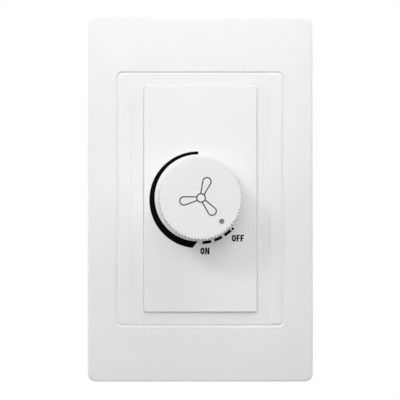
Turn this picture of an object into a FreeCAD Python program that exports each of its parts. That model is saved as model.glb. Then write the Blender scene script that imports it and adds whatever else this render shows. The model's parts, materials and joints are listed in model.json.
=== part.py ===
# A wall-mounted fan speed control switch: cover plate, dial panel, knob and the regulator behind them.
# The pieces are laid out on a bench: x to the right, y up, z out of the wall towards the user.
# The knob's axis is the z axis, and the wall is at z = 0. All sizes are in millimetres.
# Each piece is turned upright as it is written, so that z is up and the front faces -y.
import FreeCAD
import Part
import math
import os

# Cover plate
plate_width = 74.0
plate_height = 120.0
plate_depth = 8.2
plate_corner = 2.6
plate_edge_round = 0.8
rim_wall = 2.0
rim_inner_corner = 0.6
face_wall = 2.0
wall_gap = 0.3
crown_drop_ends = 0.8
crown_drop_sides = 0.4
groove_width = 54.5
groove_height = 83.0
groove_corner = 1.7
groove_mouth = 1.3
groove_depth = 0.38
channel_width = 46.3
channel_depth = 0.12
channel_slope = 0.5
seat_rib = 1.2
bead_length = 10.0
bead_height = 1.0
bead_reach = 0.9
bead_spread = 60.0
pry_notch_width = 9.0
pry_notch_height = 1.6

# Mounting frame
frame_thickness = 3.0
frame_clearance = 0.4
frame_lip = 1.2
lip_gap = 1.5
screw_spacing = 83.5
screw_slot_radius = 2.1
screw_slot_length = 8.0
screw_head_room = 12.0
snap_clearance = 0.2

# Dial panel
panel_width = 37.2
panel_height = 74.1
panel_proud = 0.9
panel_wall = 2.0
panel_skirt = 1.0
panel_corner = 0.6
panel_edge_round = 0.4
panel_gap = 0.1
claw_width = 6.0
claw_thickness = 1.2
claw_barb = 0.6
claw_barb_height = 1.2
claw_spread = 22.0
claw_flex_room = 1.85
boss_radius = 3.0
bushing_hole_clearance = 0.1

# Knob
knob_gap = 0.6
knob_height = 13.5
knob_base_radius = 13.6
knob_face_radius = 13.05
knob_face_wall = 1.8
knob_wall = 1.5
knob_edge_round = 0.35
knurl_count = 76
knurl_depth = 0.4
hub_radius = 5.2
hub_gap = 1.0
knob_rib = 1.0
pointer_radius = 10.1
pointer_angle = 139.0
pointer_dimple_radius = 0.85
pointer_dimple_depth = 0.25

# Turning range of the dial, clockwise from OFF
dial_travel = 220.0
stop_margin = 2.0

# Potentiometer
shaft_radius = 3.0
shaft_flat = 1.5
shaft_end_gap = 0.3
shaft_running_clearance = 0.05
drive_radius = 2.0
drive_flats = 3.0
drive_clearance = 0.04
bushing_radius = 3.5
bushing_reach = 4.0
bushing_thread_clearance = 0.05
flange_thickness = 1.0
lug_width = 2.4
lug_thickness = 1.2
lug_offset = 6.0
washer_radius = 6.0
washer_thickness = 0.5
nut_flats = 10.0
nut_height = 2.0
clip_radius = 4.4
clip_thickness = 0.6
clip_play = 0.1
clip_groove = 0.5
clip_mouth = 4.0
spring_thickness = 0.4
spring_play = 0.1
can_radius = 8.5
can_wall = 0.5
can_rim_gap = 0.2
track_thickness = 1.2
track_clearance = 0.3
tongue_width = 11.5
tongue_reach = 2.2
wiper_room = 0.9
wiper_thickness = 0.3
wiper_contact_gap = 0.05
wiper_contact_radius = 6.2
wiper_pad = 0.6
rotor_thickness = 1.8
rotor_gap = 0.4
rotor_hub_radius = 5.6
rotor_lobe_radius = 7.4
stop_tab_angle = 20.0
stop_tab_gap = 0.5
leg_width = 1.2
leg_thickness = 0.5
leg_pitch = 4.0

# On-off switch behind the potentiometer
cam_radius = 3.6
cam_lobe_radius = 5.0
cam_lobe_angle = 34.0
cam_thickness = 3.0
cam_gap = 0.3
leaf_gap = 0.15
leaf_thickness = 0.25
leaf_margin = 0.3
contact_radius = 0.8
contact_height = 0.5
contact_opening = 0.8
contact_plate = 0.4
switch_room = 2.5
switch_wall = 1.0
switch_floor = 2.0
switch_corner = 1.5

# Circuit board and rear case
board_thickness = 1.6
board_clearance = 0.3
board_gap = 2.0
rear_room = 12.0
case_wall = 1.6
case_clearance = 0.2
case_rim_gap = 0.3
case_corner = 1.5
case_back_chamfer = 1.0
opening_clearance = 0.3
boss_edge = 0.1
post_radius = 3.5
post_floor = 3.0
case_screw_radius = 1.45
case_screw_length = 12.0
case_screw_head_radius = 2.7
case_screw_head_height = 1.8
case_screw_recess = 2.8
case_screw_recess_width = 0.7
case_screw_recess_depth = 1.0
screw_clearance = 0.1
vent_width = 1.6
vent_length = 12.0
vent_pitch = 4.0
vent_count = 5

# Parts on the circuit board
part_gap = 0.4
standoff = 0.9
lead_radius = 0.35
lead_tail = 0.6
lead_hole_clearance = 0.1
heatsink_width = 13.2
heatsink_wall = 1.5
heatsink_fold = 1.2
heatsink_height = 10.0
heatsink_inset = 1.0
triac_width = 10.0
triac_tab_length = 6.4
triac_tab_thickness = 1.3
triac_body_length = 9.0
triac_body_thickness = 4.4
triac_hole_radius = 1.8
triac_hole_inset = 2.7
triac_lead_pitch = 2.54
triac_lead_reach = 3.0
triac_lead_width = 0.8
triac_lead_thickness = 0.5
triac_screw_radius = 1.5
triac_screw_head_radius = 2.6
triac_screw_head_height = 2.0
triac_nut_flats = 5.5
triac_nut_height = 2.4
choke_outer_radius = 6.8
choke_inner_radius = 3.8
choke_height = 5.6
choke_inset = 0.9
winding_layer = 0.5
winding_wire = 0.9
winding_turns = 10
winding_spread = 300.0
winding_share = 0.6
filter_width = 6.0
filter_length = 15.0
filter_height = 9.8
filter_lead_pitch = 10.0
filter_inset = 3.0
timing_width = 7.2
timing_depth = 3.4
timing_height = 7.0
timing_lead_pitch = 5.0
timing_inset = 12.0
resistor_radius = 1.1
resistor_length = 6.2
resistor_lead_pitch = 10.0
resistor_spread = 13.0
diac_radius = 0.95
diac_length = 4.0
diac_lead_pitch = 7.6
diac_inset = 6.9
fuse_radius = 1.8
fuse_length = 10.0
fuse_cap_length = 2.4
fuse_cap_step = 0.15
fuse_lead_pitch = 15.6
axial_lift = 0.5

# Terminals for the supply wires
block_length = 12.0
block_inset = 1.6
block_clearance = 0.25
block_wall = 1.0
block_lead_in = 2.0
block_foot = 1.0
block_foot_length = 5.0
block_screw_cover = 0.4
clamp_clearance = 0.15
wire_hole_radius = 1.7
wire_entry_half = 2.2
wire_entry_gap = 0.3
clamp_length = 8.5
clamp_floor = 1.4
clamp_thread_depth = 3.4
clamp_pin_inset = 1.0
terminal_screw_radius = 1.5
terminal_screw_head_radius = 2.0
terminal_screw_head_height = 2.0
terminal_screw_lift = 0.2
terminal_slot_width = 0.6
terminal_slot_depth = 0.8

# Levels along the axis, from the front backwards
panel_front = plate_depth + panel_proud
panel_back = panel_front - panel_wall
face_back = plate_depth - face_wall
knob_back = panel_front + knob_gap
knob_front = knob_back + knob_height
knob_face_back = knob_front - knob_face_wall
bushing_front = panel_front + bushing_reach
clip_back = bushing_front + clip_play
clip_front = clip_back + clip_thickness
hub_back = clip_front + hub_gap
shaft_flat_back = clip_front + hub_gap / 3
shaft_front = knob_face_back - shaft_end_gap
flange_back = panel_back - flange_thickness
track_back = flange_back - track_thickness
rotor_front = track_back - wiper_room
rotor_back = rotor_front - rotor_thickness
can_floor = rotor_back - rotor_gap
can_back = can_floor - can_wall
cam_front = can_back - cam_gap
cam_back = cam_front - cam_thickness
switch_floor_front = cam_back - cam_gap
switch_back = switch_floor_front - switch_floor
board_front = switch_back - board_gap
board_back = board_front - board_thickness
lead_tip_back = board_back - lead_tail
lead_tip_front = board_front + lead_tail
screw_seat = board_back - post_floor
case_floor = board_back - rear_room
case_back = case_floor - case_wall
case_rim = panel_back - case_rim_gap

# Outlines that follow from the fits
window_width = panel_width + 2 * panel_gap
window_height = panel_height + 2 * panel_gap
rim_inner_x = plate_width / 2 - rim_wall
rim_inner_y = plate_height / 2 - rim_wall
frame_half_x = rim_inner_x - frame_clearance
frame_half_y = rim_inner_y - frame_clearance
claw_back_y = panel_height / 2 - panel_skirt
case_width = panel_width - 2 * (panel_skirt + case_clearance)
case_height = panel_height - 2 * (panel_skirt + claw_thickness + claw_flex_room)
board_width = case_width - 2 * (case_wall + board_clearance)
board_height = case_height - 2 * (case_wall + board_clearance)
boss_x = board_width / 2 - boss_radius - boss_edge
boss_y = board_height / 2 - boss_radius - boss_edge
boss_places = [(sx * boss_x, sy * boss_y) for sx in (-1, 1) for sy in (-1, 1)]
bore_radius = shaft_radius + shaft_running_clearance
can_inner = can_radius - can_wall
tongue_end = can_radius + tongue_reach
leg_y = -(tongue_end - leg_thickness / 2)
leg_places = [(i * leg_pitch, leg_y) for i in (-1, 0, 1)]
switch_half = cam_lobe_radius + switch_room
leaf_x = cam_lobe_radius + leaf_gap
leaf_reach = switch_half - leaf_margin
contact_y = leaf_reach - contact_radius
fixed_x = leaf_x - 2 * contact_height - contact_opening

# Places of the parts on the board
block_half_x = boss_x - post_radius - part_gap
block_low = -board_height / 2 + block_inset
block_high = block_low + block_length
step_low = block_high + case_wall
pole_x = block_half_x / 2
clamp_width = block_half_x - 2 * block_wall
clamp_low = block_low + block_lead_in
clamp_front = board_back - standoff
wire_level = screw_seat - wire_entry_gap - wire_entry_half
clamp_back = wire_level - wire_hole_radius - clamp_thread_depth
terminal_tip = wire_level - wire_hole_radius
terminal_head_front = clamp_back - terminal_screw_lift
block_back = terminal_head_front - terminal_screw_head_height - block_screw_cover
heatsink_high = boss_y - post_radius - part_gap
heatsink_low = heatsink_high - heatsink_width
heatsink_y = (heatsink_high + heatsink_low) / 2
heatsink_right = board_width / 2 - heatsink_inset
heatsink_level = board_back - heatsink_wall
triac_right = heatsink_right - part_gap
triac_left = triac_right - triac_tab_length - triac_body_length
triac_lead_x = triac_left - triac_lead_reach
triac_leads = [(triac_lead_x, heatsink_y + i * triac_lead_pitch) for i in (-1, 0, 1)]
triac_screw_place = (triac_right - triac_hole_inset, heatsink_y)
winding_outer = choke_outer_radius + winding_wire
choke_x = -(board_width / 2 - winding_outer - choke_inset)
choke_y = (heatsink_low + step_low + case_wall) / 2
choke_front = board_back - standoff - winding_wire
choke_back = choke_front - choke_height
choke_mean_radius = (choke_outer_radius + choke_inner_radius) / 2
choke_lead_angle = (360.0 - winding_spread) / 2
filter_x = board_width / 2 - filter_inset - filter_width / 2
filter_leads = [(filter_x, choke_y + s * filter_lead_pitch / 2) for s in (-1, 1)]
fuse_y = -(boss_y - boss_radius - part_gap - fuse_radius)
second_row_y = fuse_y + fuse_radius + part_gap + timing_depth / 2
third_row_y = second_row_y + timing_depth / 2 + part_gap + resistor_radius
resistor_places = [(s * resistor_spread / 2, third_row_y) for s in (-1, 1)]
timing_x = board_width / 2 - timing_inset
diac_x = -(board_width / 2 - diac_inset)
timing_leads = [(timing_x + s * timing_lead_pitch / 2, second_row_y) for s in (-1, 1)]
clamp_pin_y = clamp_low + clamp_pin_inset
clamp_pins = [(s * pole_x, clamp_pin_y) for s in (-1, 1)]

ORIGIN = FreeCAD.Vector(0, 0, 0)
ACROSS = FreeCAD.Vector(1, 0, 0)
UPWARD = FreeCAD.Vector(0, 1, 0)
OUTWARD = FreeCAD.Vector(0, 0, 1)
OVERCUT = 1.0
TOUCH = 1e-4
ON_OUTLINE = 1e-3
HEXAGON_STEP = 60.0


def point(x, y, z):
    """A point on the bench."""
    return FreeCAD.Vector(x, y, z)


def block(x0, x1, y0, y1, z0, z1):
    """A box between two corners."""
    return Part.makeBox(x1 - x0, y1 - y0, z1 - z0, point(x0, y0, z0))


def rod(radius, z0, z1, x=0.0, y=0.0):
    """A round bar parallel to the knob's axis."""
    return Part.makeCylinder(radius, z1 - z0, point(x, y, z0))


def ring(outer, inner, z0, z1, x=0.0, y=0.0):
    """A round bar with a round hole through it."""
    return rod(outer, z0, z1, x, y).cut(rod(inner, z0 - OVERCUT, z1 + OVERCUT, x, y))


def rounded_wire(width, height, radius, z):
    """A centred rectangle with round corners, as a closed wire."""
    along = width / 2 - radius
    up = height / 2 - radius
    corners = [(along, up), (-along, up), (-along, -up), (along, -up)]
    arcs = []
    for quarter, (x, y) in enumerate(corners):
        arcs.append(Part.makeCircle(radius, point(x, y, z), OUTWARD, 90 * quarter, 90 * quarter + 90))
    edges = []
    for arc, following in zip(arcs, arcs[1:] + arcs[:1]):
        end = arc.valueAt(arc.LastParameter)
        start = following.valueAt(following.FirstParameter)
        edges += [arc, Part.makeLine(end, start)]
    return Part.Wire(edges)


def slab(width, height, radius, z0, z1, y=0.0):
    """A plate with round corners, centred on x."""
    plate = Part.Face(rounded_wire(width, height, radius, z0)).extrude(point(0, 0, z1 - z0))
    plate.translate(point(0, y, 0))
    return plate


def slot(radius, length, z0, z1, y):
    """A cutter for an upright slot with round ends."""
    half = length / 2 - radius
    middle = block(-radius, radius, y - half, y + half, z0, z1)
    ends = [rod(radius, z0, z1, 0, y - half), rod(radius, z0, z1, 0, y + half)]
    return middle.multiFuse(ends).removeSplitter()


def panel_of(points):
    """A flat face through the given corners."""
    return Part.Face(Part.makePolygon(points + points[:1]))


def sector(inner, outer, start, sweep, z0, z1):
    """A sector of a ring. Angles run clockwise from the top, as on the dial."""
    section = panel_of([point(0, inner, z0), point(0, outer, z0), point(0, outer, z1), point(0, inner, z1)])
    section.rotate(ORIGIN, OUTWARD, -start)
    return section.revolve(ORIGIN, OUTWARD, -sweep)


def on_dial(radius, angle, z=0.0):
    """The point at a radius and an angle clockwise from the top."""
    turn = math.radians(angle)
    return point(radius * math.sin(turn), radius * math.cos(turn), z)


def hexagon(flats, z0, z1, x=0.0, y=0.0):
    """A hexagonal bar parallel to the knob's axis."""
    corner = flats / 2 / math.cos(math.radians(HEXAGON_STEP / 2))
    corners = [on_dial(corner, HEXAGON_STEP * i, z0) + point(x, y, 0) for i in range(6)]
    return panel_of(corners).extrude(point(0, 0, z1 - z0))


def lead(z0, z1, x, y, room=0.0):
    """A component lead with six flats, or its hole in the board when given some room."""
    return hexagon(2 * (lead_radius + room), z0, z1, x, y)


def two_flats(radius, flats, z0, z1):
    """A round bar with two parallel flats."""
    return rod(radius, z0, z1).common(block(-flats / 2, flats / 2, -radius, radius, z0, z1))


def one_solid(first, *others):
    """The pieces joined into one body, without the seams between flush faces."""
    return first.multiFuse(list(others)).removeSplitter()


def group(solids):
    """Separate like pieces kept together under one name."""
    return Part.makeCompound(solids)


def rim_edges(shape, width, height, radius, above):
    """The edges above a level that lie on the upright sides of a rounded outline."""
    found = []
    for edge in shape.Edges:
        middle = edge.valueAt((edge.FirstParameter + edge.LastParameter) / 2)
        ends = [vertex.Point for vertex in edge.Vertexes]
        if min(end.z for end in ends) < above:
            continue
        dx = abs(middle.x) - (width / 2 - radius)
        dy = abs(middle.y) - (height / 2 - radius)
        inset = radius - math.hypot(max(dx, 0), max(dy, 0))
        if abs(inset) < ON_OUTLINE:
            found.append(edge)
    return found


def crown_arc(run, drop):
    """Radius and angle of an arc that leaves a flat smoothly and falls by drop over run."""
    radius = (run * run + drop * drop) / (2 * drop)
    return radius, math.asin((run + OVERCUT) / radius)


def crowned_block():
    """The full body of the cover plate: flat inside the groove, falling away smoothly to its edges."""
    flat_x = groove_width / 2
    flat_y = groove_height / 2
    side_radius, side_angle = crown_arc(plate_width / 2 - flat_x, crown_drop_sides)
    end_radius, end_angle = crown_arc(plate_height / 2 - flat_y, crown_drop_ends)

    def on_side(angle, side):
        x = side * (flat_x + side_radius * math.sin(angle))
        return point(x, -flat_y, plate_depth - side_radius * (1 - math.cos(angle)))

    right_end = on_side(side_angle, 1)
    left_end = on_side(side_angle, -1)
    base = -plate_depth
    edges = [
        Part.makeLine(on_side(0, -1), on_side(0, 1)),
        Part.Arc(on_side(0, 1), on_side(side_angle / 2, 1), right_end).toShape(),
        Part.makeLine(right_end, point(right_end.x, -flat_y, base)),
        Part.makeLine(point(right_end.x, -flat_y, base), point(left_end.x, -flat_y, base)),
        Part.makeLine(point(left_end.x, -flat_y, base), left_end),
        Part.Arc(left_end, on_side(side_angle / 2, -1), on_side(0, -1)).toShape(),
    ]
    section = Part.Face(Part.Wire(edges))
    middle = section.extrude(point(0, 2 * flat_y, 0))
    sweep = math.degrees(end_angle)
    low_end = section.revolve(point(0, -flat_y, plate_depth - end_radius), ACROSS, sweep)
    section.translate(point(0, 2 * flat_y, 0))
    high_end = section.revolve(point(0, flat_y, plate_depth - end_radius), ACROSS, -sweep)
    body = one_solid(middle, low_end, high_end)
    outline = slab(plate_width, plate_height, plate_corner, wall_gap, plate_depth + OVERCUT)
    body = body.common(outline)
    top = wall_gap + OVERCUT
    return body.makeFillet(plate_edge_round, rim_edges(body, plate_width, plate_height, plate_corner, top))


def groove_cutter():
    """The V-shaped groove that frames the middle of the cover plate."""
    path = rounded_wire(groove_width, groove_height, groove_corner, plate_depth)
    half = groove_mouth / 2
    rise = OVERCUT
    spread = half * (groove_depth + rise) / groove_depth
    start = path.Edges[1].valueAt(path.Edges[1].FirstParameter)
    section = Part.makePolygon([
        point(start.x, start.y, plate_depth - groove_depth),
        point(start.x, start.y + spread, plate_depth + rise),
        point(start.x, start.y - spread, plate_depth + rise),
        point(start.x, start.y, plate_depth - groove_depth),
    ])
    return path.makePipeShell([section], True, False)


def channel_cutter():
    """The shallow channel with sloped sides that runs up the middle of the plate, from groove to groove."""
    low = -groove_height / 2
    half = channel_width / 2
    floor_half = half - channel_slope
    floor = plate_depth - channel_depth
    section = panel_of([
        point(-half, low, plate_depth),
        point(-floor_half, low, floor),
        point(floor_half, low, floor),
        point(half, low, plate_depth),
        point(half, low, plate_depth + OVERCUT),
        point(-half, low, plate_depth + OVERCUT),
    ])
    return section.extrude(point(0, groove_height, 0))


def cover_plate():
    """Outer plate, hollow at the back, with seat ribs round the window and snap beads on its sides."""
    plate = crowned_block()
    hollow = slab(2 * rim_inner_x, 2 * rim_inner_y, rim_inner_corner, -OVERCUT, face_back)
    plate = plate.cut(hollow)
    collar = slab(window_width + 2 * seat_rib, window_height + 2 * seat_rib, panel_corner + seat_rib,
                  frame_thickness, face_back)
    passage = block(-screw_head_room / 2, screw_head_room / 2, -plate_height / 2, plate_height / 2,
                    frame_thickness - OVERCUT, face_back)
    plate = plate.fuse(collar.cut(passage))
    for side in (-1, 1):
        for level in (-1, 1):
            inner = side * (rim_inner_x - bead_reach)
            outer = side * (rim_inner_x + rim_wall / 2)
            low = level * bead_spread / 2 - bead_length / 2
            bead = block(min(inner, outer), max(inner, outer), low, low + bead_length,
                         wall_gap, wall_gap + bead_height)
            plate = plate.fuse(bead)
    plate = plate.cut(groove_cutter())
    plate = plate.cut(channel_cutter())
    window = slab(window_width, window_height, panel_corner + panel_gap, 0, plate_depth + OVERCUT)
    notch = block(-pry_notch_width / 2, pry_notch_width / 2, -plate_height / 2 - OVERCUT,
                  -rim_inner_y + OVERCUT / 2, 0, wall_gap + pry_notch_height)
    return plate.cut(window).cut(notch).removeSplitter()


def mounting_frame():
    """Carrier plate with the case opening, two wall screw slots and the catches of both covers."""
    frame = slab(2 * frame_half_x, 2 * frame_half_y, plate_corner, 0, face_back - lip_gap)
    inside = slab(2 * (frame_half_x - frame_lip), 2 * (frame_half_y - frame_lip), plate_corner,
                  frame_thickness, face_back)
    frame = frame.cut(inside)
    opening = slab(case_width + 2 * opening_clearance, case_height + 2 * opening_clearance,
                   case_corner + opening_clearance, -OVERCUT, frame_thickness + OVERCUT)
    frame = frame.cut(opening)
    for level in (-1, 1):
        frame = frame.cut(slot(screw_slot_radius, screw_slot_length, -OVERCUT, frame_thickness + OVERCUT,
                               level * screw_spacing / 2))
    claw_top = wall_gap + claw_barb_height + snap_clearance
    for side in (-1, 1):
        for level in (-1, 1):
            half = claw_width / 2 + snap_clearance
            middle = side * claw_spread / 2
            reach = claw_back_y + snap_clearance
            low, high = sorted((0, level * reach))
            frame = frame.cut(block(middle - half, middle + half, low, high, -OVERCUT,
                                    frame_thickness + OVERCUT))
            low, high = sorted((0, level * (reach + claw_barb)))
            frame = frame.cut(block(middle - half, middle + half, low, high, -OVERCUT, claw_top))
            inner = side * (rim_inner_x - bead_reach - snap_clearance)
            outer = side * plate_width / 2
            half = bead_length / 2 + snap_clearance
            middle = level * bead_spread / 2
            frame = frame.cut(block(min(inner, outer), max(inner, outer), middle - half, middle + half,
                                    -OVERCUT, wall_gap + bead_height + snap_clearance))
    return frame.removeSplitter()


def dial_panel():
    """Raised middle panel with its skirt, screw bosses and the claws that grip the mounting frame."""
    panel = slab(panel_width, panel_height, panel_corner, frame_thickness, panel_front)
    panel = panel.makeFillet(panel_edge_round,
                             rim_edges(panel, panel_width, panel_height, panel_corner, panel_back))
    inside = block(-panel_width / 2 + panel_skirt, panel_width / 2 - panel_skirt,
                   -claw_back_y, claw_back_y, frame_thickness - OVERCUT, panel_back)
    panel = panel.cut(inside)
    for x, y in boss_places:
        boss = rod(boss_radius, board_front, panel_back + panel_wall / 2, x, y)
        panel = panel.fuse(boss)
    for side in (-1, 1):
        for level in (-1, 1):
            panel = panel.fuse(claw(side, level))
    pilot = case_screw_radius + screw_clearance / 2
    pilot_end = screw_seat + case_screw_length + OVERCUT
    for x, y in boss_places:
        panel = panel.cut(rod(pilot, board_front - OVERCUT, pilot_end, x, y))
    hole = rod(bushing_radius + bushing_hole_clearance, panel_back - OVERCUT, panel_front + OVERCUT)
    lug_hole = lug(bushing_hole_clearance, panel_back - OVERCUT, panel_front - panel_wall / 2)
    return panel.cut(hole).cut(lug_hole).removeSplitter()


def claw(side, level):
    """A sprung arm with a barb, on the inside of the panel's skirt."""
    inner = claw_back_y - claw_thickness
    barb = claw_back_y + claw_barb
    corners = [
        (inner, panel_back + panel_wall / 2),
        (inner, wall_gap),
        (claw_back_y, wall_gap),
        (barb, wall_gap + claw_barb_height / 2),
        (barb, wall_gap + claw_barb_height),
        (claw_back_y, wall_gap + claw_barb_height),
        (claw_back_y, panel_back + panel_wall / 2),
    ]
    left = side * claw_spread / 2 - claw_width / 2
    face = panel_of([point(left, level * y, z) for y, z in corners])
    return face.extrude(point(claw_width, 0, 0))


def lug(room, z0, z1):
    """The locating lug of the potentiometer, or its hole when given some room."""
    return block(-lug_width / 2 - room, lug_width / 2 + room, lug_offset - room,
                 lug_offset + lug_thickness + room, z0, z1)


def rear_case():
    """Box behind the panel, with a shallow end where the terminals come out, screw posts and vents."""
    shell = slab(case_width, case_height, case_corner, screw_seat, case_rim)
    deep_low = step_low
    deep_height = case_height / 2 - deep_low
    deep_y = (case_height / 2 + deep_low) / 2
    deep = slab(case_width, deep_height, case_corner, case_back, case_rim, deep_y)
    back_edges = [edge for edge in deep.Edges if edge.BoundBox.ZMax < case_back + TOUCH]
    shell = shell.fuse(deep.makeChamfer(case_back_chamfer, back_edges))
    inner_width = case_width - 2 * case_wall
    shell = shell.cut(block(-inner_width / 2, inner_width / 2, -case_height / 2 + case_wall,
                            case_height / 2 - case_wall, screw_seat + case_wall, case_rim + OVERCUT))
    shell = shell.cut(block(-inner_width / 2, inner_width / 2, deep_low + case_wall,
                            case_height / 2 - case_wall, case_floor, case_rim + OVERCUT))
    outer = slab(case_width, case_height, case_corner, case_back, case_rim)
    for x, y in boss_places:
        floor = case_floor if y > 0 else screw_seat
        shell = shell.fuse(rod(post_radius, floor, board_back, x, y).common(outer))
    for x, y in boss_places:
        hole = case_screw_radius + screw_clearance
        shell = shell.cut(rod(hole, screw_seat - OVERCUT, board_back + OVERCUT, x, y))
        head = case_screw_head_radius + screw_clearance
        shell = shell.cut(rod(head, case_back - OVERCUT, screw_seat, x, y))
    reach = block_half_x + block_clearance
    shell = shell.cut(block(-reach, reach, block_low - block_clearance, block_high + block_clearance,
                            screw_seat - OVERCUT, board_back))
    for index in range(vent_count):
        x = (index - (vent_count - 1) / 2) * vent_pitch
        shell = shell.cut(block(x - vent_width / 2, x + vent_width / 2, heatsink_y - vent_length / 2,
                                heatsink_y + vent_length / 2, case_back - OVERCUT, case_floor + OVERCUT))
    return shell.removeSplitter()


def case_screws():
    """Four cross-recessed screws that clamp case, board and panel."""
    screws = []
    head_back = screw_seat - case_screw_head_height
    reach = case_screw_recess / 2
    half = case_screw_recess_width / 2
    for x, y in boss_places:
        shank = rod(case_screw_radius, screw_seat, screw_seat + case_screw_length, x, y)
        head = rod(case_screw_head_radius, head_back, screw_seat, x, y)
        recess_end = head_back + case_screw_recess_depth
        across = block(x - reach, x + reach, y - half, y + half, head_back - OVERCUT, recess_end)
        along = block(x - half, x + half, y - reach, y + reach, head_back - OVERCUT, recess_end)
        screws.append(one_solid(head, shank).cut(across.fuse(along)))
    return group(screws)


def knurled_cone():
    """A slightly tapered bar with V-shaped knurls along its side and an edge eased in two steps."""
    ease = knob_edge_round * (1 - math.sqrt(0.5))
    levels = [
        (knob_back, knob_base_radius),
        (knob_front - knob_edge_round, knob_face_radius),
        (knob_front - ease, knob_face_radius - ease),
        (knob_front, knob_face_radius - knob_edge_round),
    ]
    valley = 1 - knurl_depth / knob_base_radius
    pitch = 360.0 / knurl_count
    loops = []
    for level, radius in levels:
        loop = []
        for tooth in range(knurl_count):
            loop.append(on_dial(radius, tooth * pitch, level))
            loop.append(on_dial(radius * valley, (tooth + 0.5) * pitch, level))
        loops.append(loop)
    faces = [panel_of(loops[0]), panel_of(loops[-1])]
    for low, high in zip(loops, loops[1:]):
        for index in range(len(low)):
            following = (index + 1) % len(low)
            faces.append(panel_of([low[index], low[following], high[following], high[index]]))
    return Part.makeSolid(Part.makeShell(faces))


def knob():
    """Hollow knurled knob with a flat face, a hub for the shaft, ribs and a pointer dimple."""
    body = knurled_cone()
    inner = knob_face_radius - knurl_depth - knob_wall
    body = body.cut(rod(inner, knob_back - OVERCUT, knob_face_back))
    ribs = []
    for angle in (45, 135):
        rib = block(-knob_rib / 2, knob_rib / 2, -inner - knob_wall / 2, inner + knob_wall / 2,
                    hub_back + hub_gap, knob_face_back + knob_face_wall / 2)
        rib.rotate(ORIGIN, OUTWARD, angle - pointer_angle)
        ribs.append(rib)
    hub = rod(hub_radius, hub_back, knob_face_back + knob_face_wall / 2)
    body = body.multiFuse(ribs + [hub])
    body = body.cut(shaft_bore())
    dimple = Part.makeCone(pointer_dimple_radius / 2, pointer_dimple_radius, pointer_dimple_depth,
                           on_dial(pointer_radius, pointer_angle, knob_front - pointer_dimple_depth))
    return body.cut(dimple).removeSplitter()


def flatted_bar(radius, flat_distance, z0, z1):
    """A round bar with one flat, which faces the pointer."""
    bar = rod(radius, z0, z1)
    cutter = block(-2 * radius, 2 * radius, flat_distance, 2 * radius, z0 - OVERCUT, z1 + OVERCUT)
    cutter.rotate(ORIGIN, OUTWARD, -pointer_angle)
    return bar.cut(cutter)


def shaft_bore():
    """The blind bore of the hub, with room for the flat spring beside the shaft's flat."""
    flat = shaft_radius - shaft_flat + spring_thickness + 2 * spring_play
    return flatted_bar(bore_radius, flat, hub_back - OVERCUT, knob_face_back)


def knob_spring():
    """Flat spring between the hub and the flat of the shaft, with a lip under the hub."""
    half = math.sqrt(shaft_radius ** 2 - (shaft_radius - shaft_flat + spring_thickness + spring_play) ** 2)
    near = shaft_radius - shaft_flat + spring_play
    strip = block(-half + spring_play, half - spring_play, near, near + spring_thickness,
                  hub_back - spring_play - spring_thickness, shaft_front)
    lip = block(-half + spring_play, half - spring_play, near, hub_radius - spring_thickness,
                hub_back - spring_play - spring_thickness, hub_back - spring_play)
    spring = one_solid(strip, lip)
    spring.rotate(ORIGIN, OUTWARD, -pointer_angle)
    return spring


def pot_shaft():
    """Shaft with a flat for the knob, a clip groove and a flatted tail that drives rotor and cam."""
    flat = flatted_bar(shaft_radius, shaft_radius - shaft_flat, shaft_flat_back, shaft_front)
    barrel = rod(shaft_radius, rotor_front, shaft_flat_back)
    groove = ring(shaft_radius + OVERCUT, shaft_radius - clip_groove, clip_back, clip_front)
    tail = two_flats(drive_radius, drive_flats, switch_back + switch_floor / 4, rotor_front)
    return one_solid(barrel.cut(groove), flat, tail)


def shaft_clip():
    """Open retaining ring in the groove of the shaft, resting on the bushing's end."""
    inner = shaft_radius - clip_groove + shaft_running_clearance
    clip = ring(clip_radius, inner, clip_back + clip_play / 2, clip_front - clip_play / 2)
    gap = block(-clip_mouth / 2, clip_mouth / 2, 0, clip_radius + OVERCUT,
                clip_back - OVERCUT, clip_front + OVERCUT)
    return clip.cut(gap)


def pot_bushing():
    """Front plate of the potentiometer with the bushing that goes through the panel."""
    flange = rod(can_inner - shaft_running_clearance, flange_back, panel_back)
    neck = rod(bushing_radius, panel_back, bushing_front)
    rim = [edge for edge in neck.Edges if edge.BoundBox.ZMin > bushing_front - TOUCH]
    neck = neck.makeChamfer(flange_thickness / 3, rim)
    body = one_solid(flange, neck, lug(0, panel_back, panel_front - panel_wall / 2 - bushing_hole_clearance))
    return body.cut(rod(bore_radius, flange_back - OVERCUT, bushing_front + OVERCUT))


def pot_washer():
    """Plain washer on the panel's face."""
    return ring(washer_radius, bushing_radius + bushing_hole_clearance, panel_front,
                panel_front + washer_thickness)


def pot_nut():
    """Hexagon nut on the bushing."""
    low = panel_front + washer_thickness
    nut = hexagon(nut_flats, low, low + nut_height)
    return nut.cut(rod(bushing_radius + bushing_thread_clearance, low - OVERCUT, low + nut_height + OVERCUT))


def pot_can():
    """Pressed cup with a window for the track's tongue and a tab that stops the rotor."""
    rim = panel_back - can_rim_gap
    cup = rod(can_radius, can_back, rim).cut(rod(can_inner, can_floor, rim + OVERCUT))
    cup = cup.cut(rod(bore_radius + track_clearance, can_back - OVERCUT, can_floor + OVERCUT))
    half = tongue_width / 2 + track_clearance
    window = block(-half, half, -can_radius - OVERCUT, -can_radius / 2, track_back - track_clearance,
                   rim + OVERCUT)
    window = window.cut(rod(can_inner - track_clearance, can_back, rim))
    tab = sector(rotor_hub_radius + stop_tab_gap, can_radius - can_wall / 2, -stop_tab_angle / 2,
                 stop_tab_angle, rotor_back, rotor_front)
    return one_solid(cup.cut(window), tab)


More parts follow.
